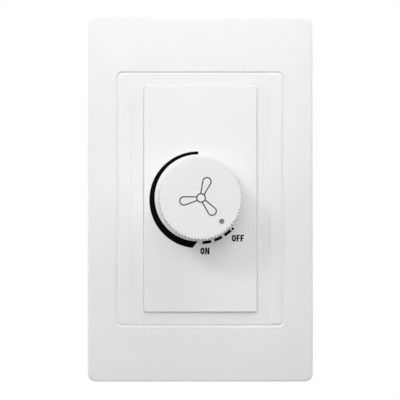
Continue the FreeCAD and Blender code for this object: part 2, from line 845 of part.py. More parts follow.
def track_board():
    """Round board of the resistance track, with a tongue for the terminals."""
    disc = rod(can_inner - shaft_running_clearance, track_back, flange_back)
    tongue = block(-tongue_width / 2, tongue_width / 2, -tongue_end, 0, track_back, flange_back)
    board = one_solid(disc, tongue)
    return board.cut(rod(bore_radius + track_clearance, track_back - OVERCUT, flange_back + OVERCUT))


def track_terminals():
    """Three bent legs from the tongue down through the circuit board."""
    legs = []
    for x, y in leg_places:
        left = x - leg_width / 2
        foot = block(left, left + leg_width, -tongue_end, -can_radius - track_clearance,
                     track_back - leg_thickness, track_back)
        leg = block(left, left + leg_width, -tongue_end, -tongue_end + leg_thickness,
                    lead_tip_back, track_back)
        legs.append(one_solid(foot, leg))
    return group(legs)


def rotor():
    """Moulded disc on the shaft's tail, with the lobe that meets the stop tab."""
    lobe_angle = 360 - stop_tab_angle - dial_travel - 2 * stop_margin
    start = stop_tab_angle / 2 + stop_margin
    disc = rod(rotor_hub_radius, rotor_back, rotor_front)
    lobe = sector(drive_radius, rotor_lobe_radius, start, lobe_angle, rotor_back, rotor_front)
    bore = two_flats(drive_radius + drive_clearance, drive_flats + 2 * drive_clearance,
                     rotor_back - OVERCUT, rotor_front + OVERCUT)
    return one_solid(disc, lobe).cut(bore)


def wiper():
    """Spring ring on the rotor with a finger whose tip runs on the track."""
    inner = bore_radius + track_clearance
    outer = rotor_hub_radius - track_clearance
    flat = ring(outer, inner, rotor_front, rotor_front + wiper_thickness)
    angle = stop_tab_angle / 2 + stop_margin + (360 - stop_tab_angle - dial_travel) / 2
    place = on_dial(wiper_contact_radius, angle)
    finger = block(-wiper_pad, wiper_pad, inner, wiper_contact_radius, rotor_front,
                   rotor_front + wiper_thickness)
    finger.rotate(ORIGIN, OUTWARD, -angle)
    pad = rod(wiper_pad, rotor_front, rotor_front + wiper_thickness, place.x, place.y)
    tip = Part.makeCone(wiper_pad, wiper_pad / 2, wiper_room - wiper_thickness - wiper_contact_gap,
                        point(place.x, place.y, rotor_front + wiper_thickness))
    return one_solid(flat, finger, pad, tip)


def switch_cam():
    """Cam on the shaft's tail, with one lobe that holds the leaf off its contact at OFF."""
    disc = rod(cam_radius, cam_back, cam_front)
    lobe = sector(drive_radius, cam_lobe_radius, 90 - cam_lobe_angle / 2, cam_lobe_angle,
                  cam_back, cam_front)
    bore = two_flats(drive_radius + drive_clearance, drive_flats + 2 * drive_clearance,
                     cam_back - OVERCUT, cam_front + OVERCUT)
    return one_solid(disc, lobe).cut(bore)


def contact_leg(x, y, room, z0, z1):
    """The leg of a switch contact, or its slot when given some room."""
    half = leg_width / 2 + room
    return block(x - room, x + contact_plate + room, y - half, y + half, z0, z1)


def switch_base():
    """Square housing behind the can, with a bearing for the shaft's tail and slots for the contacts."""
    side = 2 * (switch_half + switch_wall)
    base = slab(side, side, switch_corner, switch_back, can_back)
    base = base.cut(block(-switch_half, switch_half, -switch_half, switch_half, switch_floor_front,
                          can_back + OVERCUT))
    base = base.cut(rod(drive_radius + shaft_running_clearance, switch_back - OVERCUT,
                        switch_floor_front + OVERCUT))
    for x, y in ((leaf_x, -contact_y), (fixed_x - contact_plate, contact_y)):
        base = base.cut(contact_leg(x, y, lead_hole_clearance, switch_back - OVERCUT,
                                    switch_floor_front + OVERCUT))
    return base


def switch_leaf():
    """Spring leaf beside the cam, drawn as the lobe holds it at OFF, with its contact and its leg."""
    strip = block(leaf_x, leaf_x + leaf_thickness, -leaf_reach, leaf_reach,
                  cam_back + cam_gap, cam_front - cam_gap)
    middle = (cam_back + cam_front) / 2
    button = Part.makeCylinder(contact_radius, contact_height,
                               point(leaf_x - contact_height, contact_y, middle), ACROSS)
    leg = contact_leg(leaf_x, -contact_y, 0, lead_tip_back, cam_back + 2 * cam_gap)
    return one_solid(strip, button, leg)


def fixed_contact():
    """Upright contact that the leaf meets when the cam lets it go."""
    middle = (cam_back + cam_front) / 2
    plate = block(fixed_x - contact_plate, fixed_x, contact_y - contact_radius, leaf_reach,
                  switch_floor_front, cam_front - cam_gap)
    button = Part.makeCylinder(contact_radius, contact_height, point(fixed_x, contact_y, middle), ACROSS)
    leg = contact_leg(fixed_x - contact_plate, contact_y, 0, lead_tip_back, switch_floor_front + cam_gap)
    return one_solid(plate, button, leg)


def circuit_board():
    """Board with a hole for every lead and screw."""
    board = block(-board_width / 2, board_width / 2, -board_height / 2, board_height / 2,
                  board_back, board_front)
    holes = [(x, y, case_screw_radius + screw_clearance) for x, y in boss_places]
    holes += [(*triac_screw_place, triac_screw_radius + screw_clearance)]
    cutters = [rod(radius, board_back - OVERCUT, board_front + OVERCUT, x, y) for x, y, radius in holes]
    legs = leg_places + clamp_pins + [(leaf_x + contact_plate / 2, -contact_y)]
    legs += [(fixed_x - contact_plate / 2, contact_y)]
    wide = leg_width / 2 + lead_hole_clearance
    for x, y in legs:
        cutters.append(block(x - wide, x + wide, y - wide, y + wide,
                             board_back - OVERCUT, board_front + OVERCUT))
    for x, y in triac_leads:
        cutters.append(triac_lead(x, y, lead_hole_clearance, board_back - OVERCUT, board_front + OVERCUT))
    for x, y in choke_leads() + filter_leads + timing_leads + axial_leads():
        cutters.append(lead(board_back - OVERCUT, board_front + OVERCUT, x, y, lead_hole_clearance))
    return board.cut(cutters)


def triac_lead(x, y, room, z0, z1):
    """The bent end of a triac lead, or its hole in the board when given some room."""
    thin = triac_lead_thickness / 2 + room
    half = triac_lead_width / 2 + room
    return block(x - thin, x + thin, y - half, y + half, z0, z1)


def choke_leads():
    """Where the two ends of the choke's winding go through the board."""
    ends = [on_dial(choke_mean_radius, side * choke_lead_angle) for side in (-1, 1)]
    return [(choke_x + end.x, choke_y + end.y) for end in ends]


def axial_leads():
    """Where the leads of the parts that lie along the board go through it."""
    rows = [(x, y, resistor_lead_pitch) for x, y in resistor_places]
    rows += [(diac_x, second_row_y, diac_lead_pitch), (0, fuse_y, fuse_lead_pitch)]
    return [(x + side * pitch / 2, y) for x, y, pitch in rows for side in (-1, 1)]


def lying_leads(x, y, level, pitch):
    """A wire along x with both ends bent down through the board."""
    wire = lead(-pitch / 2 - lead_radius, pitch / 2 + lead_radius, 0, 0)
    wire.rotate(ORIGIN, UPWARD, 90)
    wire.translate(point(x, y, level))
    tails = [lead(lead_tip_back, level, x + side * pitch / 2, y) for side in (-1, 1)]
    return wire.multiFuse(tails)


def lying_bar(x, y, level, radius, length):
    """A round body that lies along x."""
    return Part.makeCylinder(radius, length, point(x - length / 2, y, level), ACROSS)


def resistors():
    """Two resistors that lie along the board."""
    made = []
    level = board_front + axial_lift + resistor_radius
    for x, y in resistor_places:
        body = lying_bar(x, y, level, resistor_radius, resistor_length)
        made.append(one_solid(body, lying_leads(x, y, level, resistor_lead_pitch)))
    return group(made)


def diac():
    """Small glass trigger diode."""
    level = board_front + axial_lift + diac_radius
    body = lying_bar(diac_x, second_row_y, level, diac_radius, diac_length)
    return one_solid(body, lying_leads(diac_x, second_row_y, level, diac_lead_pitch))


def fuse():
    """Ceramic fuse with metal end caps and leads."""
    level = board_front + axial_lift + fuse_radius
    tube = lying_bar(0, fuse_y, level, fuse_radius - fuse_cap_step, fuse_length)
    offset = (fuse_length - fuse_cap_length) / 2
    caps = [lying_bar(s * offset, fuse_y, level, fuse_radius, fuse_cap_length) for s in (-1, 1)]
    return one_solid(tube, *caps, lying_leads(0, fuse_y, level, fuse_lead_pitch))


def timing_capacitor():
    """Dipped film capacitor on the front of the board."""
    level = board_front + axial_lift
    body = block(timing_x - timing_width / 2, timing_x + timing_width / 2, second_row_y - timing_depth / 2,
                 second_row_y + timing_depth / 2, level, level + timing_height)
    body = body.makeChamfer(timing_depth / 4, body.Edges)
    tails = [lead(lead_tip_back, level + timing_height / 2, x, y) for x, y in timing_leads]
    return one_solid(body, *tails)


def suppression_capacitor():
    """Box film capacitor on the back of the board."""
    level = board_back - standoff
    body = block(filter_x - filter_width / 2, filter_x + filter_width / 2, choke_y - filter_length / 2,
                 choke_y + filter_length / 2, level - filter_height, level)
    body = body.makeChamfer(filter_width / 10, body.Edges)
    tails = [lead(level - filter_height / 4, lead_tip_front, x, y) for x, y in filter_leads]
    return one_solid(body, *tails)


def heatsink():
    """Folded aluminium channel that lies on the back of the board."""
    left = triac_left - part_gap
    low, high = heatsink_low, heatsink_high
    bottom = board_back - heatsink_height
    channel = block(left, heatsink_right, low, high, bottom, board_back)
    channel = channel.cut(block(left - OVERCUT, heatsink_right + OVERCUT, low + heatsink_wall,
                                high - heatsink_wall, bottom - OVERCUT, heatsink_level))
    folds = []
    for edge in channel.Edges:
        box = edge.BoundBox
        if box.ZMin > board_back - TOUCH and box.XLength > box.YLength:
            folds.append(edge)
    channel = channel.makeFillet(heatsink_fold, folds)
    x, y = triac_screw_place
    return channel.cut(rod(triac_screw_radius + screw_clearance, heatsink_level - OVERCUT,
                           board_back + OVERCUT, x, y))


def triac():
    """Power switch with a metal tab, a moulded body and three bent leads."""
    low = heatsink_y - triac_width / 2
    high = heatsink_y + triac_width / 2
    tab = block(triac_left + triac_body_length, triac_right, low, high,
                heatsink_level - triac_tab_thickness, heatsink_level)
    body = block(triac_left, triac_left + triac_body_length, low, high,
                 heatsink_level - triac_body_thickness, heatsink_level)
    level = heatsink_level - triac_body_thickness / 2
    leads = []
    for x, y in triac_leads:
        half = triac_lead_width / 2
        thin = triac_lead_thickness / 2
        run = block(x - thin, triac_left + OVERCUT, y - half, y + half, level - thin, level + thin)
        leads += [run, triac_lead(x, y, 0, level - thin, lead_tip_front)]
    x, y = triac_screw_place
    hole = rod(triac_hole_radius, heatsink_level - triac_body_thickness, heatsink_level + OVERCUT, x, y)
    return one_solid(tab, body, *leads).cut(hole)


def heatsink_screw():
    """Screw that clamps the triac and the heatsink to the board."""
    x, y = triac_screw_place
    seat = heatsink_level - triac_tab_thickness
    shank = rod(triac_screw_radius, seat, board_front + triac_nut_height + lead_tail, x, y)
    head = rod(triac_screw_head_radius, seat - triac_screw_head_height, seat, x, y)
    return one_solid(head, shank)


def heatsink_nut():
    """Nut on the front of the board."""
    x, y = triac_screw_place
    nut = hexagon(triac_nut_flats, board_front, board_front + triac_nut_height, x, y)
    return nut.cut(rod(triac_screw_radius + bushing_thread_clearance, board_front - OVERCUT,
                       board_front + triac_nut_height + OVERCUT, x, y))


def choke_core():
    """Ring core of the choke."""
    return ring(choke_outer_radius, choke_inner_radius, choke_back, choke_front, choke_x, choke_y)


def choke_winding():
    """Wire wound round the core: a layer with raised turns and two ends that go to the board."""
    start = choke_lead_angle

    def shell(thickness, first, sweep):
        outside = sector(choke_inner_radius - thickness, choke_outer_radius + thickness, first, sweep,
                         choke_back - thickness, choke_front + thickness)
        return outside.cut(ring(choke_outer_radius, choke_inner_radius, choke_back, choke_front))

    layer = shell(winding_layer, start, winding_spread)
    pitch = winding_spread / winding_turns
    raised = pitch * winding_share
    first = start + (pitch - raised) / 2
    turns = [shell(winding_wire, first + i * pitch, raised) for i in range(winding_turns)]
    tails = []
    for x, y in choke_leads():
        tails.append(lead(choke_front + winding_layer / 2, lead_tip_front, x - choke_x, y - choke_y))
    winding = one_solid(layer, *turns, *tails)
    winding.translate(point(choke_x, choke_y, 0))
    return winding


def terminal_block():
    """Two-pole block behind the case, with square wire entries below and screws at the back."""
    body = block(-block_half_x, block_half_x, block_low, block_high, block_back, clamp_front)
    feet = []
    for side in (-1, 1):
        outer = side * block_half_x
        inner = side * (block_half_x - block_foot)
        feet.append(block(min(outer, inner), max(outer, inner), block_low, block_low + block_foot_length,
                          clamp_front, board_back))
    body = one_solid(body, *feet)
    half = clamp_width / 2 + clamp_clearance
    for side in (-1, 1):
        x = side * pole_x
        body = body.cut(block(x - half, x + half, clamp_low - clamp_clearance,
                              clamp_low + clamp_length + clamp_clearance, clamp_back - clamp_clearance,
                              clamp_front + OVERCUT))
        body = body.cut(rod(terminal_screw_head_radius + screw_clearance, block_back - OVERCUT,
                            clamp_back, x, clamp_low + clamp_length / 2))
        body = body.cut(block(x - wire_entry_half, x + wire_entry_half, block_low - OVERCUT, clamp_low,
                              wire_level - wire_entry_half, wire_level + wire_entry_half))
    return body


def terminal_clamps():
    """Two brass clamps, each with a wire tunnel, a tapped hole and a solder pin."""
    clamps = []
    for side in (-1, 1):
        x = side * pole_x
        body = block(x - clamp_width / 2, x + clamp_width / 2, clamp_low, clamp_low + clamp_length,
                     clamp_back, clamp_front)
        pin = block(x - leg_width / 2, x + leg_width / 2, clamp_pin_y - leg_thickness / 2,
                    clamp_pin_y + leg_thickness / 2, clamp_front, lead_tip_front)
        tunnel = Part.makeCylinder(wire_hole_radius, clamp_length - clamp_floor,
                                   point(x, clamp_low, wire_level), UPWARD)
        thread = rod(terminal_screw_radius + bushing_thread_clearance, clamp_back - OVERCUT, wire_level,
                     x, clamp_low + clamp_length / 2)
        clamps.append(one_solid(body, pin).cut(tunnel).cut(thread))
    return group(clamps)


def terminal_screws():
    """Two slotted screws, backed out so that the wire tunnels are free."""
    screws = []
    y = clamp_low + clamp_length / 2
    for side in (-1, 1):
        x = side * pole_x
        shank = rod(terminal_screw_radius, terminal_head_front, terminal_tip, x, y)
        head_back = terminal_head_front - terminal_screw_head_height
        head = rod(terminal_screw_head_radius, head_back, terminal_head_front, x, y)
        reach = 2 * terminal_screw_head_radius
        driver = block(x - reach, x + reach, y - terminal_slot_width / 2, y + terminal_slot_width / 2,
                       head_back - OVERCUT, head_back + terminal_slot_depth)
        screws.append(one_solid(head, shank).cut(driver))
    return group(screws)


PIECES = [
    cover_plate, mounting_frame, dial_panel, rear_case, case_screws, knob, knob_spring, pot_shaft,
    shaft_clip, pot_bushing, pot_washer, pot_nut, pot_can, track_board, track_terminals, rotor, wiper,
    switch_cam, switch_base, switch_leaf, fixed_contact, circuit_board, resistors, diac, fuse,
    timing_capacitor, suppression_capacitor, heatsink, triac, heatsink_screw, heatsink_nut, choke_core,
    choke_winding, terminal_block, terminal_clamps, terminal_screws,
]


def write_pieces():
    """Build every piece, turn it upright and write it to its own file."""
    os.makedirs("parts", exist_ok=True)
    upright = FreeCAD.Matrix()
    upright.rotateX(math.pi / 2)
    for build in PIECES:
        piece = build().transformed(upright, True)
        piece.exportStep("parts/" + build.__name__ + ".step")
        print(build.__name__, len(piece.Solids), "valid" if piece.isValid() else "NOT VALID")


write_pieces()
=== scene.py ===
"""Looks of a wall-mounted fan speed control switch: finishes, printed dial, knurled knob and studio."""
import json
import logging
import math
from dataclasses import dataclass, field
from enum import Enum

import bmesh
import bpy
import numpy as np
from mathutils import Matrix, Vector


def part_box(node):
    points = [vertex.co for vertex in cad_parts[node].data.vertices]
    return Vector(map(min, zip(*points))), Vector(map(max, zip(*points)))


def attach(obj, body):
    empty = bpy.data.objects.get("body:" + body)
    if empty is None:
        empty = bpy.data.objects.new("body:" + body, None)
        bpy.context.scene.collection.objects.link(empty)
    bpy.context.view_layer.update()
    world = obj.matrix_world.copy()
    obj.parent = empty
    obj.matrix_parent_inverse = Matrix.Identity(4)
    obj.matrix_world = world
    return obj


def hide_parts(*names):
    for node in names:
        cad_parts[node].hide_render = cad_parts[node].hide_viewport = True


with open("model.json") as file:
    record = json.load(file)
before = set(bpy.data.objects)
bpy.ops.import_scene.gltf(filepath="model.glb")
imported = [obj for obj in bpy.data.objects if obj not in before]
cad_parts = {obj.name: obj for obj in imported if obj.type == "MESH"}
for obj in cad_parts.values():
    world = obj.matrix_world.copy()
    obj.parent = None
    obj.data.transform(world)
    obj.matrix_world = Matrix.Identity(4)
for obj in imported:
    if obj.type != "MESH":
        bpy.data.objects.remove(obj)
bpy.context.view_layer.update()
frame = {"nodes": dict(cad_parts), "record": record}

FIXED_BODY = "switch_body"
TURNING_BODY = "dial"
MM = 0.001
FULL_TURN = 2.0 * math.pi
MERGE_DISTANCE = 1e-7
SHARP_DEGREES = 35.0
WHITE = (1.0, 1.0, 1.0, 1.0)

log = logging.getLogger("fan_switch")

Colour = tuple[float, float, float]
Triple = tuple[float, float, float]
Pair = tuple[float, float]
Shell = tuple[np.ndarray, np.ndarray]
Sockets = bpy.types.bpy_prop_collection
Source = bpy.types.NodeSocket | tuple[float, ...] | float


class Pattern(Enum):
    """What varies over a finish."""

    MOULDED = "moulded_grain"
    BRUSHED = "brushed_lines"


@dataclass(frozen=True)
class Texture:
    """How a surface varies: features per metre of its relief and of its slow drift, and how strongly."""

    pattern: Pattern
    relief_per_metre: float
    drift_per_metre: float
    relief_height: float
    gloss_spread: float


POLISHED_MOULD = Texture(Pattern.MOULDED, 3500.0, 45.0, 0.00001, 0.05)
ETCHED_MOULD = Texture(Pattern.MOULDED, 3500.0, 45.0, 0.00003, 0.05)
ROLLED_SHEET = Texture(Pattern.BRUSHED, 2500.0, 120.0, 0.000008, 0.08)
CAST_SKIN = Texture(Pattern.MOULDED, 2000.0, 150.0, 0.00001, 0.08)
DIPPED_COAT = Texture(Pattern.MOULDED, 900.0, 200.0, 0.00006, 0.06)
PRINTED_COAT = Texture(Pattern.MOULDED, 5000.0, 300.0, 0.000004, 0.08)


@dataclass(frozen=True)
class Finish:
    """A surface finish: two close tones that it drifts between, its gloss and its texture."""

    name: str
    colour: Colour
    second_colour: Colour
    roughness: float
    texture: Texture = POLISHED_MOULD
    metallic: float = 0.0
    coat: float = 0.0
    specular: float = 0.5


WHITE_PLASTIC = Finish("white_plastic", (0.86, 0.86, 0.862), (0.845, 0.845, 0.848), 0.36)
KNOB_PLASTIC = Finish("knob_plastic", (0.86, 0.86, 0.862), (0.848, 0.848, 0.851), 0.55)
FRAME_PLASTIC = Finish("frame_plastic", (0.80, 0.80, 0.79), (0.77, 0.77, 0.755), 0.45)
CASE_PLASTIC = Finish("case_plastic", (0.74, 0.74, 0.73), (0.70, 0.70, 0.69), 0.5, ETCHED_MOULD)
BLOCK_PLASTIC = Finish("block_plastic", (0.10, 0.27, 0.15), (0.085, 0.24, 0.13), 0.4)
DARK_PLASTIC = Finish("dark_plastic", (0.03, 0.03, 0.032), (0.045, 0.045, 0.047), 0.5, ETCHED_MOULD)
PALE_PLASTIC = Finish("pale_plastic", (0.75, 0.74, 0.70), (0.70, 0.69, 0.65), 0.4)
STEEL = Finish("steel", (0.62, 0.62, 0.60), (0.52, 0.53, 0.52), 0.32, ROLLED_SHEET, metallic=1.0)
CAST_METAL = Finish("bushing_metal", (0.66, 0.66, 0.67), (0.58, 0.58, 0.59), 0.4, CAST_SKIN,
                    metallic=1.0)
BRASS = Finish("brass", (0.76, 0.58, 0.27), (0.66, 0.48, 0.21), 0.3, ROLLED_SHEET, metallic=1.0)
COPPER_WIRE = Finish("copper_wire", (0.58, 0.22, 0.08), (0.48, 0.17, 0.06), 0.28, CAST_SKIN,
                     metallic=0.6, coat=0.5)
FERRITE = Finish("ferrite", (0.06, 0.06, 0.065), (0.09, 0.09, 0.095), 0.7, ETCHED_MOULD)
ALUMINIUM = Finish("aluminium", (0.72, 0.73, 0.74), (0.63, 0.64, 0.65), 0.36, ROLLED_SHEET,
                   metallic=1.0)
TRACK_LAMINATE = Finish("track_phenolic", (0.24, 0.12, 0.05), (0.19, 0.09, 0.04), 0.55)
BOARD_LAMINATE = Finish("board_laminate", (0.55, 0.42, 0.2), (0.48, 0.35, 0.16), 0.5)
FILTER_CASE = Finish("filter_case", (0.72, 0.56, 0.11), (0.66, 0.5, 0.09), 0.35)
TIMING_DIP = Finish("timing_dip", (0.34, 0.11, 0.045), (0.28, 0.09, 0.035), 0.25, DIPPED_COAT)
RESISTOR_COAT = Finish("resistor_coat", (0.6, 0.48, 0.32), (0.52, 0.4, 0.26), 0.3, DIPPED_COAT)
DIAC_GLASS = Finish("diac_glass", (0.1, 0.2, 0.5), (0.07, 0.15, 0.42), 0.12)
FUSE_CERAMIC = Finish("fuse_ceramic", (0.84, 0.83, 0.79), (0.78, 0.77, 0.73), 0.25)
PRINT_INK = Finish("print_ink", (0.002, 0.002, 0.002), (0.003, 0.003, 0.003), 0.6, PRINTED_COAT,
                   specular=0.02)
SIGN_INK = Finish("sign_ink", (0.045, 0.037, 0.045), (0.056, 0.046, 0.056), 0.6, PRINTED_COAT,
                  specular=0.1)
POINTER_INK = Finish("pointer_ink", (0.21, 0.185, 0.215), (0.19, 0.168, 0.195), 0.4, PRINTED_COAT)
TINNED_WIRE = Finish("tinned_wire", (0.70, 0.70, 0.68), (0.60, 0.60, 0.58), 0.34, ROLLED_SHEET,
                     metallic=1.0)
CARBON_TRACK = Finish("carbon_track", (0.02, 0.02, 0.021), (0.03, 0.03, 0.031), 0.45)
YELLOW_PAINT = Finish("yellow_paint", (0.75, 0.52, 0.02), (0.70, 0.48, 0.02), 0.3)
VIOLET_PAINT = Finish("violet_paint", (0.16, 0.03, 0.30), (0.14, 0.025, 0.27), 0.3)
ORANGE_PAINT = Finish("orange_paint", (0.75, 0.17, 0.01), (0.70, 0.15, 0.01), 0.3)
GOLD_PAINT = Finish("gold_paint", (0.58, 0.40, 0.12), (0.52, 0.35, 0.10), 0.35, metallic=0.5)

SLOT_FINISHES: dict[str, Finish] = {
    finish.name: finish
    for finish in (
        WHITE_PLASTIC, KNOB_PLASTIC, FRAME_PLASTIC, CASE_PLASTIC, BLOCK_PLASTIC, DARK_PLASTIC,
        PALE_PLASTIC, STEEL, CAST_METAL, BRASS, COPPER_WIRE, FERRITE, ALUMINIUM, TRACK_LAMINATE,
        BOARD_LAMINATE, FILTER_CASE, TIMING_DIP, RESISTOR_COAT, DIAC_GLASS, FUSE_CERAMIC,
    )
}


@dataclass(frozen=True)
class Mark:
    """A region of a solid with a finish of its own: a box about a point, in millimetres.

    On a round piece the first size runs outwards from the dial's axis and the third is not used.
    """

    finish: Finish
    middle: Triple
    half: Triple
    round_piece: bool = False


def feed(tree: bpy.types.NodeTree, entry: bpy.types.NodeSocket, source: Source) -> None:
    """Give an input its source.

    Args:
        tree: the nodes that the input belongs to.
        entry: the input.
        source: an output, which is linked to it, or a value, which is set on it.
    """
    if isinstance(source, bpy.types.NodeSocket):
        tree.links.new(source, entry)
    else:
        entry.default_value = source


def add_node(tree: bpy.types.NodeTree, kind: str, sources: dict[str | int, Source] | None = None,
             **options: object) -> bpy.types.Node:
    """Add a shader node.

    Args:
        tree: the nodes that it joins.
        kind: the node's type, without the ShaderNode that it starts with.
        sources: what its inputs get, by their name or number.
        options: the node's own settings, such as its operation.

    Returns:
        The node.
    """
    node = tree.nodes.new("ShaderNode" + kind)
    for name, option in options.items():
        setattr(node, name, option)
    for name, source in (sources or {}).items():
        feed(tree, node.inputs[name], source)
    return node


def calculate(tree: bpy.types.NodeTree, operation: str, *sources: Source,
              vectors: bool = False) -> bpy.types.NodeSocket:
    """Add a Math or Vector Math node.

    Args:
        tree: the nodes that it joins.
        operation: what it works out.
        sources: what it works with.
        vectors: true for Vector Math.

    Returns:
        The socket of the result.
    """
    kind = "VectorMath" if vectors else "Math"
    node = add_node(tree, kind, dict(enumerate(sources)), operation=operation)
    return next(socket for socket in node.outputs if socket.enabled)


def new_group(name: str, inputs: dict[str, str],
              outputs: tuple[str, ...]) -> tuple[bpy.types.NodeTree, Sockets, Sockets]:
    """Start a shader node group.

    Args:
        name: the group's name.
        inputs: the kind of each input, by its name.
        outputs: the names of its outputs, which are all numbers.

    Returns:
        The group, the sockets that its inputs arrive at and those that its outputs leave from.
    """
    group = bpy.data.node_groups.new(name, "ShaderNodeTree")
    for socket, kind in inputs.items():
        group.interface.new_socket(socket, in_out="INPUT", socket_type="NodeSocket" + kind)
    for socket in outputs:
        group.interface.new_socket(socket, in_out="OUTPUT", socket_type="NodeSocketFloat")
    return group, group.nodes.new("NodeGroupInput").outputs, group.nodes.new("NodeGroupOutput").inputs


@dataclass
class FinishShop:
    """Turns finishes into materials. The textures and the box mask are node groups that they share."""

    fine_detail: float = 2.0
    drift_detail: float = 3.0
    drift_range: Pair = (0.32, 0.68)
    drift_in_gloss: float = 0.5
    even: Triple = (1.0, 1.0, 1.0)
    drawn_out: Triple = (0.03, 1.0, 1.0)
    off_axis: Triple = (1.0, 0.0, 1.0)
    full_relief: float = 1.0
    box_mask: bpy.types.NodeTree = field(init=False)
    textures: dict[Pattern, bpy.types.NodeTree] = field(init=False)
    made: dict[str, bpy.types.Material] = field(init=False, default_factory=dict)

    def __post_init__(self) -> None:
        """Build the shared groups."""
        self.box_mask = self._box_mask_group()
        self.textures = {
            Pattern.MOULDED: self._texture_group(Pattern.MOULDED, self.even),
            Pattern.BRUSHED: self._texture_group(Pattern.BRUSHED, self.drawn_out),
        }

    def _texture_group(self, pattern: Pattern, stretch: Triple) -> bpy.types.NodeTree:
        """A fine noise for the relief and a slow one for the drift of tone, and a mix of both for gloss.

        Args:
            pattern: the pattern that the group is for.
            stretch: factors on the place in the fine noise; a small one draws it out along that axis.

        Returns:
            The node group, with outputs Height, Tone and Gloss.
        """
        group, given, result = new_group(
            pattern.value, {"Vector": "Vector", "Texture Scale": "Float", "Drift Scale": "Float"},
            ("Height", "Tone", "Gloss"))
        drawn = calculate(group, "MULTIPLY", given["Vector"], stretch, vectors=True)
        fine = add_node(group, "TexNoise", {
            "Vector": drawn, "Scale": given["Texture Scale"], "Detail": self.fine_detail}).outputs["Fac"]
        slow = add_node(group, "TexNoise", {
            "Vector": given["Vector"], "Scale": given["Drift Scale"], "Detail": self.drift_detail})
        low, high = self.drift_range
        tone = add_node(group, "MapRange", {
            "Value": slow.outputs["Fac"], "From Min": low, "From Max": high}).outputs["Result"]
        drift = calculate(group, "MULTIPLY", tone, self.drift_in_gloss)
        gloss = calculate(group, "MULTIPLY_ADD", fine, 1.0 - self.drift_in_gloss, drift)
        for name, source in (("Height", fine), ("Tone", tone), ("Gloss", gloss)):
            feed(group, result[name], source)
        return group

    @staticmethod
    def _box_mask_group() -> bpy.types.NodeTree:
        """A mask of 1 inside a box, where the largest of |place - middle| - half size is below nothing.

        Returns:
            The node group, with output Mask.
        """
        group, given, result = new_group(
            "box_mask", {"Vector": "Vector", "Middle": "Vector", "Half Size": "Vector"}, ("Mask",))
        offset = calculate(group, "SUBTRACT", given["Vector"], given["Middle"], vectors=True)
        reach = calculate(group, "ABSOLUTE", offset, vectors=True)
        past = calculate(group, "SUBTRACT", reach, given["Half Size"], vectors=True)
        parts = add_node(group, "SeparateXYZ", {0: past}).outputs
        wider = calculate(group, "MAXIMUM", parts["X"], parts["Y"])
        widest = calculate(group, "MAXIMUM", wider, parts["Z"])
        feed(group, result["Mask"], calculate(group, "LESS_THAN", widest, 0.0))
        return group

    def _mask(self, tree: bpy.types.NodeTree, place: bpy.types.NodeSocket,
              mark: Mark) -> bpy.types.NodeSocket:
        """The mask of a marked region.

        Args:
            tree: the material's nodes.
            place: the piece's own coordinates.
            mark: the region.

        Returns:
            A socket that is 1 inside the region and 0 outside it.
        """
        if mark.round_piece:
            flattened = calculate(tree, "MULTIPLY", place, self.off_axis, vectors=True)
            outwards = calculate(tree, "LENGTH", flattened, vectors=True)
            along = add_node(tree, "SeparateXYZ", {0: place}).outputs["Y"]
            place = add_node(tree, "CombineXYZ", {"X": outwards, "Y": along}).outputs[0]
        sizes = {"Middle": mark.middle, "Half Size": mark.half}
        sources = {name: tuple(size * MM for size in row) for name, row in sizes.items()}
        mask = add_node(tree, "Group", {"Vector": place, **sources}, node_tree=self.box_mask)
        return mask.outputs["Mask"]

    @staticmethod
    def _mix(tree: bpy.types.NodeTree, kind: str, factor: bpy.types.NodeSocket, below: Source,
             above: Source) -> bpy.types.NodeSocket:
        """Mix two colours or numbers, each of them a socket or a constant.

        Args:
            tree: the material's nodes.
            kind: RGBA for colours and FLOAT for numbers.
            factor: the share of the second one.
            below: the first one.
            above: the second one.

        Returns:
            The socket of the result.
        """
        mix = add_node(tree, "Mix", {0: factor}, data_type=kind)
        for name, source in (("A", below), ("B", above)):
            entry = next(socket for socket in mix.inputs if socket.enabled and socket.name == name)
            feed(tree, entry, source)
        return next(socket for socket in mix.outputs if socket.enabled)

    def _tint(self, tree: bpy.types.NodeTree, tone: bpy.types.NodeSocket,
              finish: Finish) -> bpy.types.NodeSocket:
        """A finish's colour, drifting between its two tones."""
        return self._mix(tree, "RGBA", tone, (*finish.colour, 1.0), (*finish.second_colour, 1.0))

    def material(self, finish: Finish, marks: tuple[Mark, ...] = (),
                 name: str = "") -> bpy.types.Material:
        """The material of a finish, made once.

        Args:
            finish: the finish to make.
            marks: regions with other finishes, the later ones on top.
            name: the material's name where it isn't the finish's own.

        Returns:
            A material whose colour, roughness and relief follow the finish's texture group.
        """
        name = name or finish.name
        if name in self.made:
            return self.made[name]
        made = bpy.data.materials.new(name)
        made.use_nodes = True
        tree = made.node_tree
        kind = finish.texture
        place = add_node(tree, "TexCoord").outputs["Object"]
        texture = add_node(tree, "Group", {
            "Vector": place, "Texture Scale": kind.relief_per_metre,
            "Drift Scale": kind.drift_per_metre}, node_tree=self.textures[kind.pattern]).outputs
        gloss = add_node(tree, "MapRange", {
            "Value": texture["Gloss"], "To Min": finish.roughness - kind.gloss_spread,
            "To Max": finish.roughness + kind.gloss_spread})
        relief = add_node(tree, "Bump", {
            "Strength": self.full_relief, "Distance": kind.relief_height, "Height": texture["Height"]})
        looks = {
            "Base Color": self._tint(tree, texture["Tone"], finish),
            "Roughness": gloss.outputs["Result"],
            "Metallic": finish.metallic,
            "Coat Weight": finish.coat,
            "Specular IOR Level": finish.specular,
            "Normal": relief.outputs["Normal"],
        }
        for mark in marks:
            mask = self._mask(tree, place, mark)
            tint = self._tint(tree, texture["Tone"], mark.finish)
            looks["Base Color"] = self._mix(tree, "RGBA", mask, looks["Base Color"], tint)
            values = {"Roughness": mark.finish.roughness, "Metallic": mark.finish.metallic}
            for socket, value in values.items():
                if looks[socket] != value:
                    looks[socket] = self._mix(tree, "FLOAT", mask, looks[socket], value)
